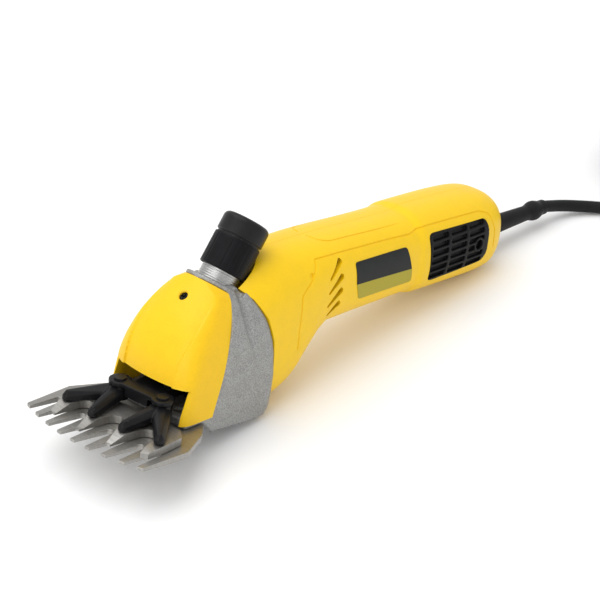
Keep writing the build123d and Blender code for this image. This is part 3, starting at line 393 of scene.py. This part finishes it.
def moulded(piece, voxel_mm, smoothing):
    """The piece remeshed and smoothed, so that its edges are round as cast or moulded ones are."""
    remesh = piece.modifiers.new("remesh", "REMESH")
    remesh.mode, remesh.voxel_size = "VOXEL", voxel_mm * MM
    smooth = piece.modifiers.new("smooth", "SMOOTH")
    smooth.factor, smooth.iterations = 0.5, smoothing
    settled(piece)
    piece.data.shade_smooth()
    return piece


def creased(piece, angle=sharp_degrees):
    """Smooth shading with crisp edges where faces meet at more than the angle."""
    piece.data.shade_smooth()
    piece.data.set_sharp_from_angle(angle=radians(angle))
    return piece


def eased(piece, width_mm):
    """Small round-overs on every sharp edge."""
    weld = piece.modifiers.new("weld", "WELD")
    weld.merge_threshold = merge_mm * MM
    bevel = piece.modifiers.new("bevel", "BEVEL")
    bevel.width, bevel.segments = width_mm * MM, 2
    bevel.limit_method, bevel.angle_limit = "ANGLE", radians(sharp_degrees)


def copied(node, name):
    """A CAD node's mesh as a new piece, with its split points joined."""
    mesh = frame["nodes"][node].data.copy()
    mesh.materials.clear()
    shape = bmesh.new()
    shape.from_mesh(mesh)
    bmesh.ops.remove_doubles(shape, verts=shape.verts, dist=merge_mm * MM)
    shape.to_mesh(mesh)
    shape.free()
    for layer in ("custom_normal", "sharp_face", "sharp_edge"):
        if layer in mesh.attributes:
            mesh.attributes.remove(mesh.attributes[layer])
    return new_object(name, mesh)


def dressed(piece, slot, body, *replaced):
    """Give a piece its material, its body and the CAD nodes that it stands for."""
    piece.data.materials.clear()
    piece.data.materials.append(finish_of[slot])
    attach(piece, body)
    if replaced:
        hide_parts(*replaced)
    return piece


def steady(rows, y):
    """Row values at y, on smooth curves through the rows that don't overshoot."""
    table = np.array(rows, float)
    ys = table[:, 0]
    k = int(np.clip(np.searchsorted(ys, y) - 1, 0, len(ys) - 2))
    step = np.diff(ys)
    values = []
    for column in table.T[1:]:
        slope = np.diff(column) / step

        def tangent(i):
            if i == 0 or i == len(ys) - 1:
                return slope[min(i, len(slope) - 1)]
            if slope[i - 1] * slope[i] <= 0:
                return 0.0
            a, b = 2 * step[i] + step[i - 1], step[i] + 2 * step[i - 1]
            return (a + b) / (a / slope[i - 1] + b / slope[i])

        t = (y - ys[k]) / step[k]
        values.append((2 * t**3 - 3 * t**2 + 1) * column[k] + (t**3 - 2 * t**2 + t) * step[k] * tangent(k)
                      + (3 * t**2 - 2 * t**3) * column[k + 1] + (t**3 - t**2) * step[k] * tangent(k + 1))
    return values


def along_path(corners, spacing, bend=0.0):
    """Points about spacing apart along straight runs between corners, each corner cut by a bend."""
    points = [corners[0]]
    for before, corner, after in zip(corners, corners[1:], corners[2:]):
        b, c, a = Vector(before), Vector(corner), Vector(after)
        reach = min(bend, (c - b).length * 0.45, (a - c).length * 0.45)
        start, end = c + (b - c).normalized() * reach, c + (a - c).normalized() * reach
        for t in (0, 0.25, 0.5, 0.75, 1):
            points.append(tuple(start * (1 - t)**2 + c * 2 * t * (1 - t) + end * t * t))
    points.append(corners[-1])
    fine = []
    for one, two in zip(points, points[1:]):
        one, two = Vector(one), Vector(two)
        count = max(1, int((two - one).length / spacing))
        fine += [tuple(one.lerp(two, i / count)) for i in range(count)]
    return fine + [tuple(points[-1])]


# ================================================================ cord and coil
def coil_point(turns, first_angle=-40.0):
    """Place on the coil after so many turns: each turn lies in its own cell and shifts to the next."""
    cells = [(2, 0), (1, 0), (0, 0), (0, 1), (1, 1), (2, 1), (2, 2), (1, 2), (0, 2)]
    first_shift, shift_every, shift_length = 0.70, 0.91, 0.26
    cell = 0
    share = 0.0
    for k in range(len(cells) - 1):
        t = (turns - first_shift - k * shift_every) / shift_length
        if t >= 1:
            cell = k + 1
        elif t > 0:
            share = t * t * (3 - 2 * t)
    here, there = cells[cell], cells[min(cell + 1, len(cells) - 1)]
    radius = coil_radii[here[0]] * (1 - share) + coil_radii[there[0]] * share
    level = coil_levels[here[1]] * (1 - share) + coil_levels[there[1]] * share
    a = radians(first_angle + 360 * turns)
    return (coil_middle[0] + radius * cos(a), coil_middle[1] + radius * sin(a), level)


def make_cord():
    """The mains cord from the boot to the plug, on the table, its spare length coiled and tied."""
    table = cord_diameter / 2 + 0.02
    boot_exit = tuple(TOOL @ Vector(boot_end) / MM)
    route = [
        boot_exit,
        (8.7, 208.5, 7.1),
        (14.6, 218.7, 4.7),
        (23.5, 227.0, 3.6),
        (34.2, 233.2, table),
        (44.9, 239.1, table),
        (54.5, 246.6, table),
        (62.0, 256.2, table),
        (68.3, 266.7, 3.8),
        (73.5, 277.9, 4.8),
    ]
    turn_count, steps_per_turn = 8.1, 20
    turns = [coil_point(i / steps_per_turn) for i in range(1, int(turn_count * steps_per_turn))]
    # up over the top turns and into the plug
    x, y = coil_middle
    climb_radius, plug_level = 36, 29.6
    climb = ((-5, 19.6), (12, 22.6), (30, 25.6), (47, 27.9), (63, 29.2))
    away = [(x + climb_radius * cos(radians(a)), y + climb_radius * sin(radians(a)), level)
            for a, level in climb]
    away += [(x + u, y + v, plug_level) for u, v in ((12.0, 35.7), (7.0, 36.0), (2.0, 36.0))]
    line = route + turns + away
    curve = bpy.data.curves.new("mains_cord", "CURVE")
    curve.dimensions = "3D"
    spline = curve.splines.new("NURBS")
    spline.points.add(len(line) - 1)
    for point, place in zip(spline.points, line):
        point.co = (*[v * MM for v in place], 1.0)
    spline.order_u = 3
    spline.use_endpoint_u = True
    spline.resolution_u = 6
    curve.bevel_depth = cord_diameter / 2 * MM
    curve.bevel_resolution = 5
    curve.use_fill_caps = True
    cord = bpy.data.objects.new("mains_cord", curve)
    bpy.context.scene.collection.objects.link(cord)
    dressed(cord, "cord_rubber", "housing", "cord", "cord_coil")


make_cord()


# ================================================================ floor and light
def make_studio():
    """A pale floor under soft, even light from above and both sides."""
    floor_mesh = bpy.data.meshes.new("floor")
    floor_mesh.from_pydata([(-6, -6, 0), (6, -6, 0), (6, 6, 0), (-6, 6, 0)], [], [(0, 1, 2, 3)])
    floor = new_object("floor", floor_mesh)
    floor.location.z = -0.0002
    paint = bpy.data.materials.new("floor_white")
    paint.use_nodes = True
    paint.node_tree.nodes["Principled BSDF"].inputs["Base Color"].default_value = (0.93, 0.93, 0.93, 1)
    paint.node_tree.nodes["Principled BSDF"].inputs["Roughness"].default_value = 0.9
    floor_mesh.materials.append(paint)
    world = bpy.data.worlds.new("studio")
    world.use_nodes = True
    world.node_tree.nodes["Background"].inputs["Color"].default_value = (1.0, 1.0, 1.0, 1)
    world.node_tree.nodes["Background"].inputs["Strength"].default_value = 0.78
    bpy.context.scene.world = world
    for name, place, aim, size, power in (
        ("key", (-0.25, -0.15, 1.25), (0, 0.02, 0.03), 1.3, 9.5),
        ("front", (0.25, -1.3, 0.75), (0, -0.05, 0.03), 0.8, 4.0),
    ):
        light = bpy.data.lights.new(name, "AREA")
        light.size, light.energy = size, power
        lamp = bpy.data.objects.new(name, light)
        lamp.location = place
        lamp.rotation_mode = "QUATERNION"
        lamp.rotation_quaternion = (Vector(aim) - Vector(place)).to_track_quat("-Z", "Y")
        bpy.context.scene.collection.objects.link(lamp)
    bpy.context.scene.view_settings.view_transform = "Standard"


make_studio()

# ================================================================ barrel
# station, lowest and highest point, half width
barrel_rows = (
    (82.0, -11.4, 56.5, 25.3), (98.0, -12.0, 62.8, 25.4), (112.0, -10.4, 66.2, 25.2),
    (123.0, -5.6, 67.0, 24.8), (133.0, 6.5, 67.0, 24.2), (141.0, 15.8, 66.9, 23.6),
    (150.0, 20.6, 66.7, 23.1), (212.0, 20.7, 64.6, 22.1), (218.0, 19.0, 65.9, 23.0),
    (245.0, 18.2, 65.4, 23.0), (268.0, 17.8, 64.3, 22.6), (279.0, 18.2, 62.8, 21.6),
    (286.0, 20.8, 59.6, 18.9), (289.6, 24.6, 54.6, 15.0), (291.2, 29.6, 48.2, 9.8),
)
barrel_front, barrel_rear = 82.0, 291.2
barrel_power = 2.55
shell = 2.4
outside = 40    # past either flank of the tool


def barrel_loop(y, grow, count):
    """Evenly spaced points round the barrel at one station, its skin moved outwards by grow."""
    low, high, half = steady(barrel_rows, y)
    a = np.linspace(0, 2 * pi, 1441)
    c, s = np.cos(a), np.sin(a)
    x = (half + grow) * np.sign(c) * np.abs(c) ** (2 / barrel_power)
    z = (low + high) / 2 + ((high - low) / 2 + grow) * np.sign(s) * np.abs(s) ** (2 / barrel_power)
    run = np.concatenate([[0], np.cumsum(np.hypot(np.diff(x), np.diff(z)))])
    even = np.linspace(0, run[-1], count + 1)[:-1]
    return [(px, y, pz) for px, pz in zip(np.interp(even, run, x), np.interp(even, run, z))]


def barrel_solid(name, grow, y0, y1, step, count):
    """The barrel between two stations, its skin moved outwards by grow."""
    stations = np.linspace(y0, y1, int((y1 - y0) / step) + 1)
    return rings(name, [barrel_loop(y, grow, count) for y in stations])


def flank_x(y, z):
    """Half width of the barrel at a height."""
    low, high, half = steady(barrel_rows, y)
    t = min(0.999, abs(z - (low + high) / 2) / ((high - low) / 2))
    return half * (1 - t**barrel_power) ** (1 / barrel_power)


def crown_z(x, y):
    """Height of the barrel's top at a place across it."""
    low, high, half = steady(barrel_rows, y)
    return (low + high) / 2 + (high - low) / 2 * (1 - (abs(x) / half) ** barrel_power) ** (1 / barrel_power)


def on_flank(corners, side):
    """A side-view path laid on the barrel's left (1) or right (-1)."""
    return [(side * flank_x(y, z), y, z) for y, z in along_path(corners, 1.2, 2.0)]


def loop_of(corners, spacing, bend, inset=0.0):
    """Closed side-view outline through the corners, each rounded, moved inwards by the inset."""
    middle = np.mean(corners, axis=0)
    start = tuple((np.array(corners[-1]) + np.array(corners[0])) / 2)
    points = np.array(along_path([start, *corners, start], spacing, bend)[:-1])
    ahead, behind = np.roll(points, -1, axis=0), np.roll(points, 1, axis=0)
    along = ahead - behind
    normal = np.stack([along[:, 1], -along[:, 0]], axis=1) / np.linalg.norm(along, axis=1)[:, None]
    inwards = np.sign(np.sum((middle - points) * normal, axis=1))[:, None]
    return [tuple(p) for p in points + normal * inwards * inset]


vent_slots = (((151.0, 57.6), (142.9, 50.8)), ((151.2, 50.4), (142.3, 43.8)),
              ((151.2, 43.2), (142.1, 36.9)), ((150.6, 36.2), (143.4, 31.6)))
window_corners = [(219.3, 56.3), (267.5, 54.5), (270.5, 49.0), (270.5, 34.0), (267.0, 30.0), (222.5, 28.8)]
screw_spots = ((131.0, 59.0), (112.8, -4.6), (209.5, 25.0), (274.5, 55.0), (274.5, 26.0))
panel_line = [(135.5, 61.4), (150.6, 61.1), (170.3, 60.1), (189.1, 59.2), (207.5, 58.1), (214.0, 59.5),
              (219.5, 59.9), (240.8, 59.2), (264.3, 58.2), (272.0, 55.6), (276.0, 47.0), (276.8, 36.0)]
front_line = [(135.5, 61.4), (133.8, 57.9), (129.7, 52.9), (122.0, 47.4), (120.6, 30.8), (121.0, 20.0)]
top_line = [(2.5, 144.0), (8.8, 146.2), (11.4, 151.5), (11.9, 184.5), (11.9, 205.0)]
dimple = (130.2, 55.3)
housing_front = [(60, -20), (60, 75), (82, 75), (82, 64), (84.7, 60), (92.2, 52), (98.7, 42), (102.7, 30),
                 (104.6, 12), (104.2, -7), (104.2, -20)]


def teardrop(upper, lower, wide=1.75, narrow=0.75):
    """Outline of a vent: wide and square at its upper end, narrow and round at its lower end."""
    dy, dz = upper[0] - lower[0], upper[1] - lower[1]
    length = hypot(dy, dz)
    u, v = (dy / length, dz / length), (-dz / length, dy / length)
    outline = []
    for centre, radius, start in ((upper, wide, -80), (lower, narrow, 90)):
        sweep = 160 if centre is upper else 180
        for i in range(9):
            a = radians(start + sweep * i / 8)
            reach = radius * (0.75 if centre is upper else 1.0)
            outline.append((centre[0] + u[0] * reach * cos(a) + v[0] * radius * sin(a),
                            centre[1] + u[1] * reach * cos(a) + v[1] * radius * sin(a)))
    return outline


screw_boss, screw_bore, screw_sink = 4.3, 1.75, 3.1
bore_end, sink_floor = 12, -10.55
knob_room, pocket_radius = 12.6, 14.6


def make_housing():
    """Two moulded halves that meet along the middle, with panel lines, vents and windows."""
    body = barrel_solid("housing_body", 0.0, barrel_front, barrel_rear, step=0.9, count=220)
    room = barrel_solid("room", -shell, 80.0, 288.4, step=1.6, count=144)
    carve(body, [prism("front", housing_front, -outside, outside)])
    grooves = []
    for side in (1, -1):
        grooves.append(tube("panel", on_flank(panel_line, side), 0.5, 8))
        grooves.append(tube("front_seam", on_flank(front_line, side), 0.5, 8))
        top = [(side * x, y, crown_z(x, y)) for x, y in along_path(top_line, 1.2, 2.0)]
        fading = [0.45 * min(1, 0.25 + (len(top) - i) / 25) for i in range(len(top))]
        grooves.append(tube("top", top, fading, 8))
    carve(body, grooves)
    seam = [(0, y, steady(barrel_rows, y)[1]) for y in np.linspace(86, barrel_rear, 160)]
    seam += [(0, y, steady(barrel_rows, y)[0]) for y in np.linspace(barrel_rear, 106, 160)]
    carve(body, [tube("seam", seam, 0.13, 6)])
    cuts = [room]
    for side in (1, -1):
        near, far = sorted((side * 10, side * outside))
        cuts.append(prism("window", loop_of(window_corners, 1.0, 4.0), near, far))
        for upper, lower in vent_slots:
            cuts.append(prism("vent", teardrop(upper, lower), near, far))
        cuts.append(lathe("dimple", [(1.3, 0), (1.3, 4)], TOOL
                          @ Matrix.Translation((side * (flank_x(*dimple) - 0.7), *dimple))
                          @ Matrix.Rotation(side * pi / 2.6, 4, "Y"), 24))
    cuts.append(lathe("boot_way", [(6.6, 0), (6.6, 30)], TOOL @ Matrix.Translation((0, 270, 34.5))
                      @ Matrix.Rotation(-pi / 2, 4, "X"), 48))
    cuts.append(prism("switch_way", rounded(170, 186, 40.5, 46.5, 2.0), -outside, -10))
    cuts.append(lathe("flange_room", [(15.2, -45), (15.2, -5.9)], TENSION, 96))
    cuts.append(lathe("neck_room", [(knob_room, -7), (knob_room, 35)], TENSION, 96))
    carve(body, cuts)
    # wall round the place where the knob stands
    pocket = lathe("pocket", [(pocket_radius, -5.5), (pocket_radius, 35)], TENSION, 96)
    carve(pocket, [lathe("knob_room", [(knob_room, -7), (knob_room, 36)], TENSION, 96),
                   prism("front", housing_front, -outside, outside)])
    carve(pocket, [barrel_solid("outer", -0.02, 83.0, 140.0, step=1.5, count=144)], "INTERSECT")
    carve(body, [pocket], "UNION")
    inner = barrel_solid("inner", -shell + 0.3, 100.0, 288.0, step=2.0, count=96)
    halves = []
    for side, name in ((1, "housing_left"), (-1, "housing_right")):
        half = new_object(name, body.data.copy())
        near, far = sorted((side * 0.02, side * 60))
        carve(half, [prism("half", [(40, -60), (320, -60), (320, 120), (40, 120)], near, far)], "INTERSECT")
        near, far = sorted((side * 0.02, side * 30))
        bosses = [prism("boss", circle(screw_boss, 32, spot), near, far) for spot in screw_spots]
        bosses = joined("bosses", bosses)
        carve(bosses, [inner], "INTERSECT", keep=True)
        carve(half, [bosses], "UNION")
        bores = [prism("bore", circle(screw_bore, 20, spot), -outside, bore_end) for spot in screw_spots]
        if side < 0:
            bores += [prism("sink", circle(screw_sink, 32, spot), -outside, sink_floor)
                      for spot in screw_spots]
        carve(half, bores)
        halves.append(half)
    bpy.data.objects.remove(inner)
    bpy.data.objects.remove(body)
    for half, node in zip(halves, ("left_housing", "right_housing")):
        dressed(creased(half, angle=34), "housing_yellow", "housing", node)


make_housing()


middle_y_of_grille, middle_z_of_grille = 244.0, 42.6
slot_pitch_y, slot_pitch_z = 15.3, 4.2
slot_reach, slot_rise = 6.6, 1.4


def make_grilles():
    """Black slotted air grilles in the windows, each with a round boss for its screw."""
    screw = (262.0, 41.2)
    pane = loop_of(window_corners, 1.0, 4.0, 0.15)
    for side, name in ((1, "left"), (-1, "right")):
        plate = barrel_solid("plate", 0.45, 214, 275, step=1.0, count=160)
        back = barrel_solid("back", -1.9, 213, 276, step=1.0, count=120)
        near, far = sorted((side * 12, side * outside))
        carve(plate, [prism("pane", pane, near, far)], "INTERSECT")
        cuts = [back]
        for column in (-1, 0, 1):
            for row in range(6):
                y = middle_y_of_grille + slot_pitch_y * column
                z = middle_z_of_grille + slot_pitch_z * (row - 2.5)
                slot = rounded(y - slot_reach, y + slot_reach, z - slot_rise, z + slot_rise, 0.7, 3)
                cuts.append(prism("slot", slot, near, far))
        carve(plate, cuts)
        # painted shade: a black sheet behind the slots, put where the inside of the housing lies in shade
        shade_screen = barrel_solid("shade_screen", -1.4, 214, 275, step=1.0, count=120)
        within = barrel_solid("within", -1.95, 213, 276, step=1.0, count=120)
        carve(shade_screen, [prism("pane", pane, near, far)], "INTERSECT")
        carve(shade_screen, [within])
        carve(plate, [shade_screen], "UNION")
        boss_x = flank_x(*screw) + 0.45
        low, high = sorted((side * 16.5, side * boss_x))
        carve(plate, [prism("boss", circle(4.0, 40, screw), low, high)], "UNION")
        low, high = sorted((side * 19.55, side * outside))
        carve(plate, [prism("recess", circle(2.7, 32, screw), low, high),
                      prism("hole", circle(1.3, 20, screw), *sorted((side * 10, side * outside)))])
        plate.name = f"grille_{name}"
        dressed(moulded(plate, 0.3, 3), "black_plastic", "housing", f"{name}_grille")


make_grilles()


def make_label():
    """Rating plate: a thin two-tone foil with round upper corners and no lettering."""
    outline = [(166.4, 34.0), (208.6, 32.8), (206.9, 40.7), (202.2, 53.3), (161.6, 54.7), (163.2, 42.5)]
    plate = barrel_solid("label_plate", 0.28, 155, 212, step=0.8, count=200)
    under = barrel_solid("under", 0.02, 150, 216, step=0.8, count=200)
    carve(plate, [prism("pane", loop_of(outline, 1.0, 1.8), 10, outside)], "INTERSECT")
    carve(plate, [under])
    dressed(creased(plate), "label", "housing", "rating_plate")


make_label()

# ================================================================ gear head
head_half, head_centre, head_height, head_power = 25.7, 14.0, 46.0, 2.6
joint_low, joint_top = (63.5, 2.0), (79.9, 56.5)
flange_low, flange_radius, collar_radius = -8.5, 14.9, 12.3


def head_x(z):
    """Half width of the head's arch at a height."""
    t = min(0.9999, abs(z - head_centre) / head_height)
    return head_half * (1 - t**head_power) ** (1 / head_power)


def joint_y(z):
    """Joint line between the front cover and the casting."""
    return joint_low[0] + (joint_top[0] - joint_low[0]) / (joint_top[1] - joint_low[1]) * (z - joint_low[1])


def make_casting():
    """Sand-cast gear head with a shallow valley down each side and a swelling rim behind it."""
    casting = copied("gear_head", "casting")
    valley = [(87.2, 57.5), (85.6, 48.0), (87.0, 38.5), (90.6, 27.0), (94.0, 15.0)]
    rim = [(88.5, 53.5), (93.5, 47.0), (97.6, 38.0), (100.2, 26.0), (101.2, 12.0), (101.0, -4.0)]
    for side in (1, -1):
        spots = along_path(valley, 1.5, 6.0)
        count = len(spots)
        path = [(side * (head_x(z) + 1.7), y, z) for y, z in spots]
        radii = [3.1 - 1.0 * (i / count) ** 1.8 for i in range(count)]
        carve(casting, [tube("valley", path, radii, 16)])
        spots = along_path(rim, 1.5, 6.0)
        path = [(side * (head_x(z) - 1.9), y, z) for y, z in spots]
        carve(casting, [tube("rim", path, 2.6, 16)], "UNION")
    dressed(moulded(casting, 0.6, 7), "cast_aluminium", "housing", "gear_head")


make_casting()

# height, front, half width of the cover
cover_rows = (
    (2.0, 42.6, 25.9), (19.0, 44.0, 25.6), (28.0, 45.8, 24.7), (37.0, 49.6, 23.0), (46.0, 55.6, 20.4),
    (52.0, 61.4, 17.8), (57.0, 66.8, 15.0), (63.5, 73.8, 13.4),
)
crease_rows = ((0.0, 15.2), (18.8, 15.4), (28.5, 16.0), (42.5, 17.0), (55.0, 15.0), (64.0, 12.0))


def cover_loop(z, shrink, crease, count):
    """Outline of the cover at one height, evenly spaced, with a soft step where the front face ends."""
    front, half = steady(cover_rows, max(2.0, z))
    half -= shrink
    back = joint_y(z) + 4 * (shrink > 0)
    depth = back - front - shrink
    a = np.linspace(0, pi, 1441)
    c, s = np.cos(a), np.sin(a)
    boxy = 0.28 + 0.14 * min(1, max(0, (z - 22) / 25))
    bow = 3.5 * min(1, max(0.15, z / 19))
    x = half * np.sign(c) * np.abs(c) ** boxy
    y = back - depth * np.abs(s) ** boxy + bow * (x / half) ** 2 * np.abs(s)
    run = np.concatenate([[0], np.cumsum(np.hypot(np.diff(x), np.diff(y)))])
    even = np.linspace(0, run[-1], count)
    x, y = np.interp(even, run, x), np.interp(even, run, y)
    if crease:
        at = steady(crease_rows, z)[0]
        fade = min(1, max(0, (58 - z) / 16))
        normal_x, normal_y = np.gradient(y), -np.gradient(x)
        length = np.hypot(normal_x, normal_y)
        spacing = run[-1] / count
        for side in (1, -1):
            beyond = np.where((side * x > at) & (y < back - 1.0))[0]
            if len(beyond) == 0:
                continue
            start = beyond.max() if side > 0 else beyond.min()
            distance = np.abs(np.arange(len(x)) - start) * spacing
            outer = (np.arange(len(x)) <= start) if side > 0 else (np.arange(len(x)) >= start)
            rise = np.clip(distance / 0.5, 0, 1)
            push = 0.95 * fade * rise * rise * (3 - 2 * rise) * np.exp(-distance / 9.0) * outer
            x, y = x - push * normal_x / length, y - push * normal_y / length
    return [(px, py, z) for px, py in zip(x, y)]


COVER_SCREW = TOOL @ Matrix.Translation((0, 64.2, 54.6)) @ Matrix.Rotation(radians(40), 4, "X")


def make_cover():
    """Yellow front cover with its mouth, its screw hole and a dark inside."""
    cover = rings("cover", [cover_loop(z, 0.0, True, 220) for z in np.linspace(2.0, 63.5, 96)])
    hollow = rings("hollow", [cover_loop(z, 2.1, False, 110) for z in np.linspace(0.0, 57.0, 60)])
    mouth = prism("mouth", [(40, -2), (40, 19), (49.2, 19), (43.4, 2), (43.4, -2)], -30, 30)
    inside = prism("inside", [(-23.2, 40), (23.2, 40), (23.2, 58), (-23.2, 58)], -2, 19, axis="z")
    screw_way = lathe("screw_way", [(2.3, -6), (2.3, 4)], COVER_SCREW, 40)
    funnel = lathe("funnel", [(2.2, -0.7), (3.3, 0.6)], COVER_SCREW, 40)
    over = lathe("over", [(60, flange_low), (60, 40)], TENSION, 48)
    collar_room = collar_radius + 0.05
    round_collar = lathe("round_collar", [(collar_room, -40), (collar_room, 0)], TENSION, 96)
    # the top edge keeps inside the flange over it
    trim = lathe("trim", [(60, -15.5), (60, flange_low + 0.1)], TENSION, 96)
    kept = [(21.5, -15.6), (18.2, -12.0), (flange_radius + 0.1, flange_low + 0.2)]
    carve(trim, [lathe("kept", kept, TENSION, 96)])
    carve(cover, [hollow, mouth, inside, screw_way, funnel, over, round_collar, trim])
    dressed(creased(cover, angle=30), "cover_yellow", "housing", "front_cover")


make_cover()


# ================================================================ tension gear
neck_low, neck_high, neck_bore = -10.5, 11.0, 6.4
thread_crest, thread_root, thread_pitch = 9.8, 9.66, 1.1
knob_radius, knob_bore = 11.7, 10.62
flute_count, flute_depth = 24, 0.014


def make_tension():
    """Threaded neck, fluted skirt and round cap of the tension knob."""
    neck = [(neck_bore, neck_low)]
    height = neck_low
    while height < 10.4:
        neck += [(thread_crest, height + 0.15), (thread_crest, height + 0.55),
                 (thread_root, height + 0.8), (thread_root, height + 0.95)]
        height += thread_pitch
    neck += [(9.4, neck_high), (neck_bore, neck_high)]
    shape = lathe("neck", neck, TENSION, 96)
    carve(shape, [lathe("bore", [(neck_bore, -20), (neck_bore, 20)], TENSION, 64)])
    dressed(creased(shape), "plain_steel", "housing", "tension_neck")

    def flute(a, height):
        dip = max(0.0, cos(flute_count * a)) ** 4
        ends = min(1, max(0, height - 0.6)) * min(1, max(0, 15.4 - height))
        return 1 - flute_depth * dip * ends

    skirt = [(10.7, 0.0), (11.35, 0.0), (knob_radius, 0.4)]
    skirt += [(knob_radius, 0.7 + 14.6 * i / 15) for i in range(16)]
    skirt += [(knob_radius, 15.9), (11.4, 16.45), (10.7, 16.45)]
    skirt = lathe("knob_skirt", skirt, TENSION, 288, flute)
    carve(skirt, [lathe("bore", [(knob_bore, -5), (knob_bore, 30)], TENSION, 96)])
    dressed(creased(skirt, angle=40), "black_plastic", "knob", "tension_knob")

    cap = [(10.0, 16.5), (10.8, 16.5), (10.8, 17.45), (11.35, 17.5), (knob_radius, 17.9)]
    cap += [(knob_radius, 18.7 + i) for i in range(6)]
    cap += [(9.0 + 2.7 * cos(radians(a)), 24.5 + 2.7 * sin(radians(a))) for a in range(0, 91, 10)]
    cap += [(6.0, 27.25), (5.6, 26.9), (0.5, 26.8)]
    top = lathe("knob_top", cap, TENSION, 128)
    carve(top, [lathe("room", [(10.65, 10), (10.65, 18.05)], TENSION, 96),
                lathe("way", [(3.4, 10), (3.4, 19.3)], TENSION, 48)])
    dressed(creased(top, angle=40), "knob_grey", "knob", "knob_cap")


make_tension()

# ================================================================ yokes
junction = (13.2, -31.0)
finger_reach = ((9.5, -52.5), (28.5, -49.5))
cutter_top = 4.1


def finger(side, tip):
    """Flat-sided bar that tapers from the hub to a rounded end resting on the cutter."""
    hub_x, hub_y = side * junction[0], junction[1]
    tip_x, tip_y = side * tip[0], tip[1]
    shape = bmesh.new()
    for x, y, levels in (
        (hub_x, hub_y, ((3.6, 6.0), (5.0, 7.4), (4.8, 10.4), (2.0, 12.7))),
        (tip_x, tip_y, ((1.5, cutter_top + 0.05), (2.6, cutter_top + 0.8), (2.5, 6.9), (0.9, 9.2))),
    ):
        for radius, height in levels:
            for u, v in circle(radius, 20, (x, y)):
                shape.verts.new((u, v, height))
    bmesh.ops.convex_hull(shape, input=shape.verts)
    loose = [v for v in shape.verts if not v.link_faces]
    bmesh.ops.delete(shape, geom=loose, context="VERTS")
    mesh = bpy.data.meshes.new("finger")
    shape.to_mesh(mesh)
    shape.free()
    mesh.transform(SWUNG)
    return new_object("finger", mesh)


def make_yokes():
    """The two black forked feet that press the cutter on the comb."""
    for side, name in ((1, "left"), (-1, "right")):
        foot = finger(side, finger_reach[0])
        hub = lathe("hub", [(4.3, 5.4), (4.8, 5.9), (4.8, 12.2), (4.4, 12.6)],
                    SWUNG @ Matrix.Translation((side * junction[0], junction[1], 0)), 48)
        carve(foot, [finger(side, finger_reach[1]), hub], "UNION")
        pegs = [lathe("peg", [(1.4, 2.1), (1.4, 4.6)], SWUNG @ Matrix.Translation((side * x, y, 0)), 24)
                for x, y in finger_reach]
        carve(foot, pegs, "UNION")
        carve(foot, [lathe("bore", [(1.65, 0), (1.65, 20)],
                           SWUNG @ Matrix.Translation((side * junction[0], junction[1], 0)), 32)])
        foot.name = f"yoke_{name}"
        dressed(moulded(foot, 0.26, 2), "black_steel", "fork", f"{name}_yoke")


make_yokes()


def make_fork():
    """Fork lever with a soft-edged front beam between its hubs."""
    lever = copied("fork_lever", "fork")
    dressed(moulded(lever, 0.32, 3), "black_steel", "fork", "fork_lever")


make_fork()


# ================================================================ cord boot and plug
def make_boot():
    """Tapered rubber strain relief with a swelling near its end."""
    full = boot_way.length
    profile = [(3.5, 8.5), (8.3, 8.5), (8.6, 8.8), (8.6, 11.2), (8.3, 11.5), (6.2, 11.5), (6.0, 12.0)]
    for i in range(22):
        t = i / 21
        profile.append((6.0 - 1.75 * t**0.8, 15.0 + (full - 30.0) * t))
    for i in range(15):
        t = i / 14
        swell = sin(pi * t) ** 1.3
        profile.append((4.3 + 1.3 * swell, full - 14.5 + 10.5 * t))
    profile += [(4.25, full - 3.0), (4.2, full - 0.8), (3.9, full - 0.1), (3.45, full)]
    boot = lathe("strain_relief", profile, BOOT, 64)
    dressed(creased(boot, angle=40), "boot_rubber", "housing", "cord_boot")


make_boot()

# ================================================================ what is carried over from the CAD
softened = {
    "comb": 0.22, "cutter": 0.25, "comb_screws": 0.25, "yoke_pins": 0.3, "slide_button": 0.5,
    "plug_pins": 0.5, "plug_body": 1.2, "coil_tie": 0.3, "grille_screws": 0.25, "housing_screws": 0.25,
}
usual_round_over = 0.15


def finish_cad_nodes():
    """Every CAD node that still shows gets small round-overs and its slot's material."""
    slot_of = {part["node"]: part["material_slot"] for part in frame["record"]["subparts"]}
    for name, node in frame["nodes"].items():
        if node.hide_render:
            continue
        if "custom_normal" in node.data.attributes:
            node.data.attributes.remove(node.data.attributes["custom_normal"])
        node.data.materials.clear()
        node.data.materials.append(finish_of[slot_of[name]])
        node.data.shade_smooth()
        eased(node, softened.get(name, usual_round_over))
        normals = node.modifiers.new("normals", "WEIGHTED_NORMAL")
        normals.weight = 50


finish_cad_nodes()
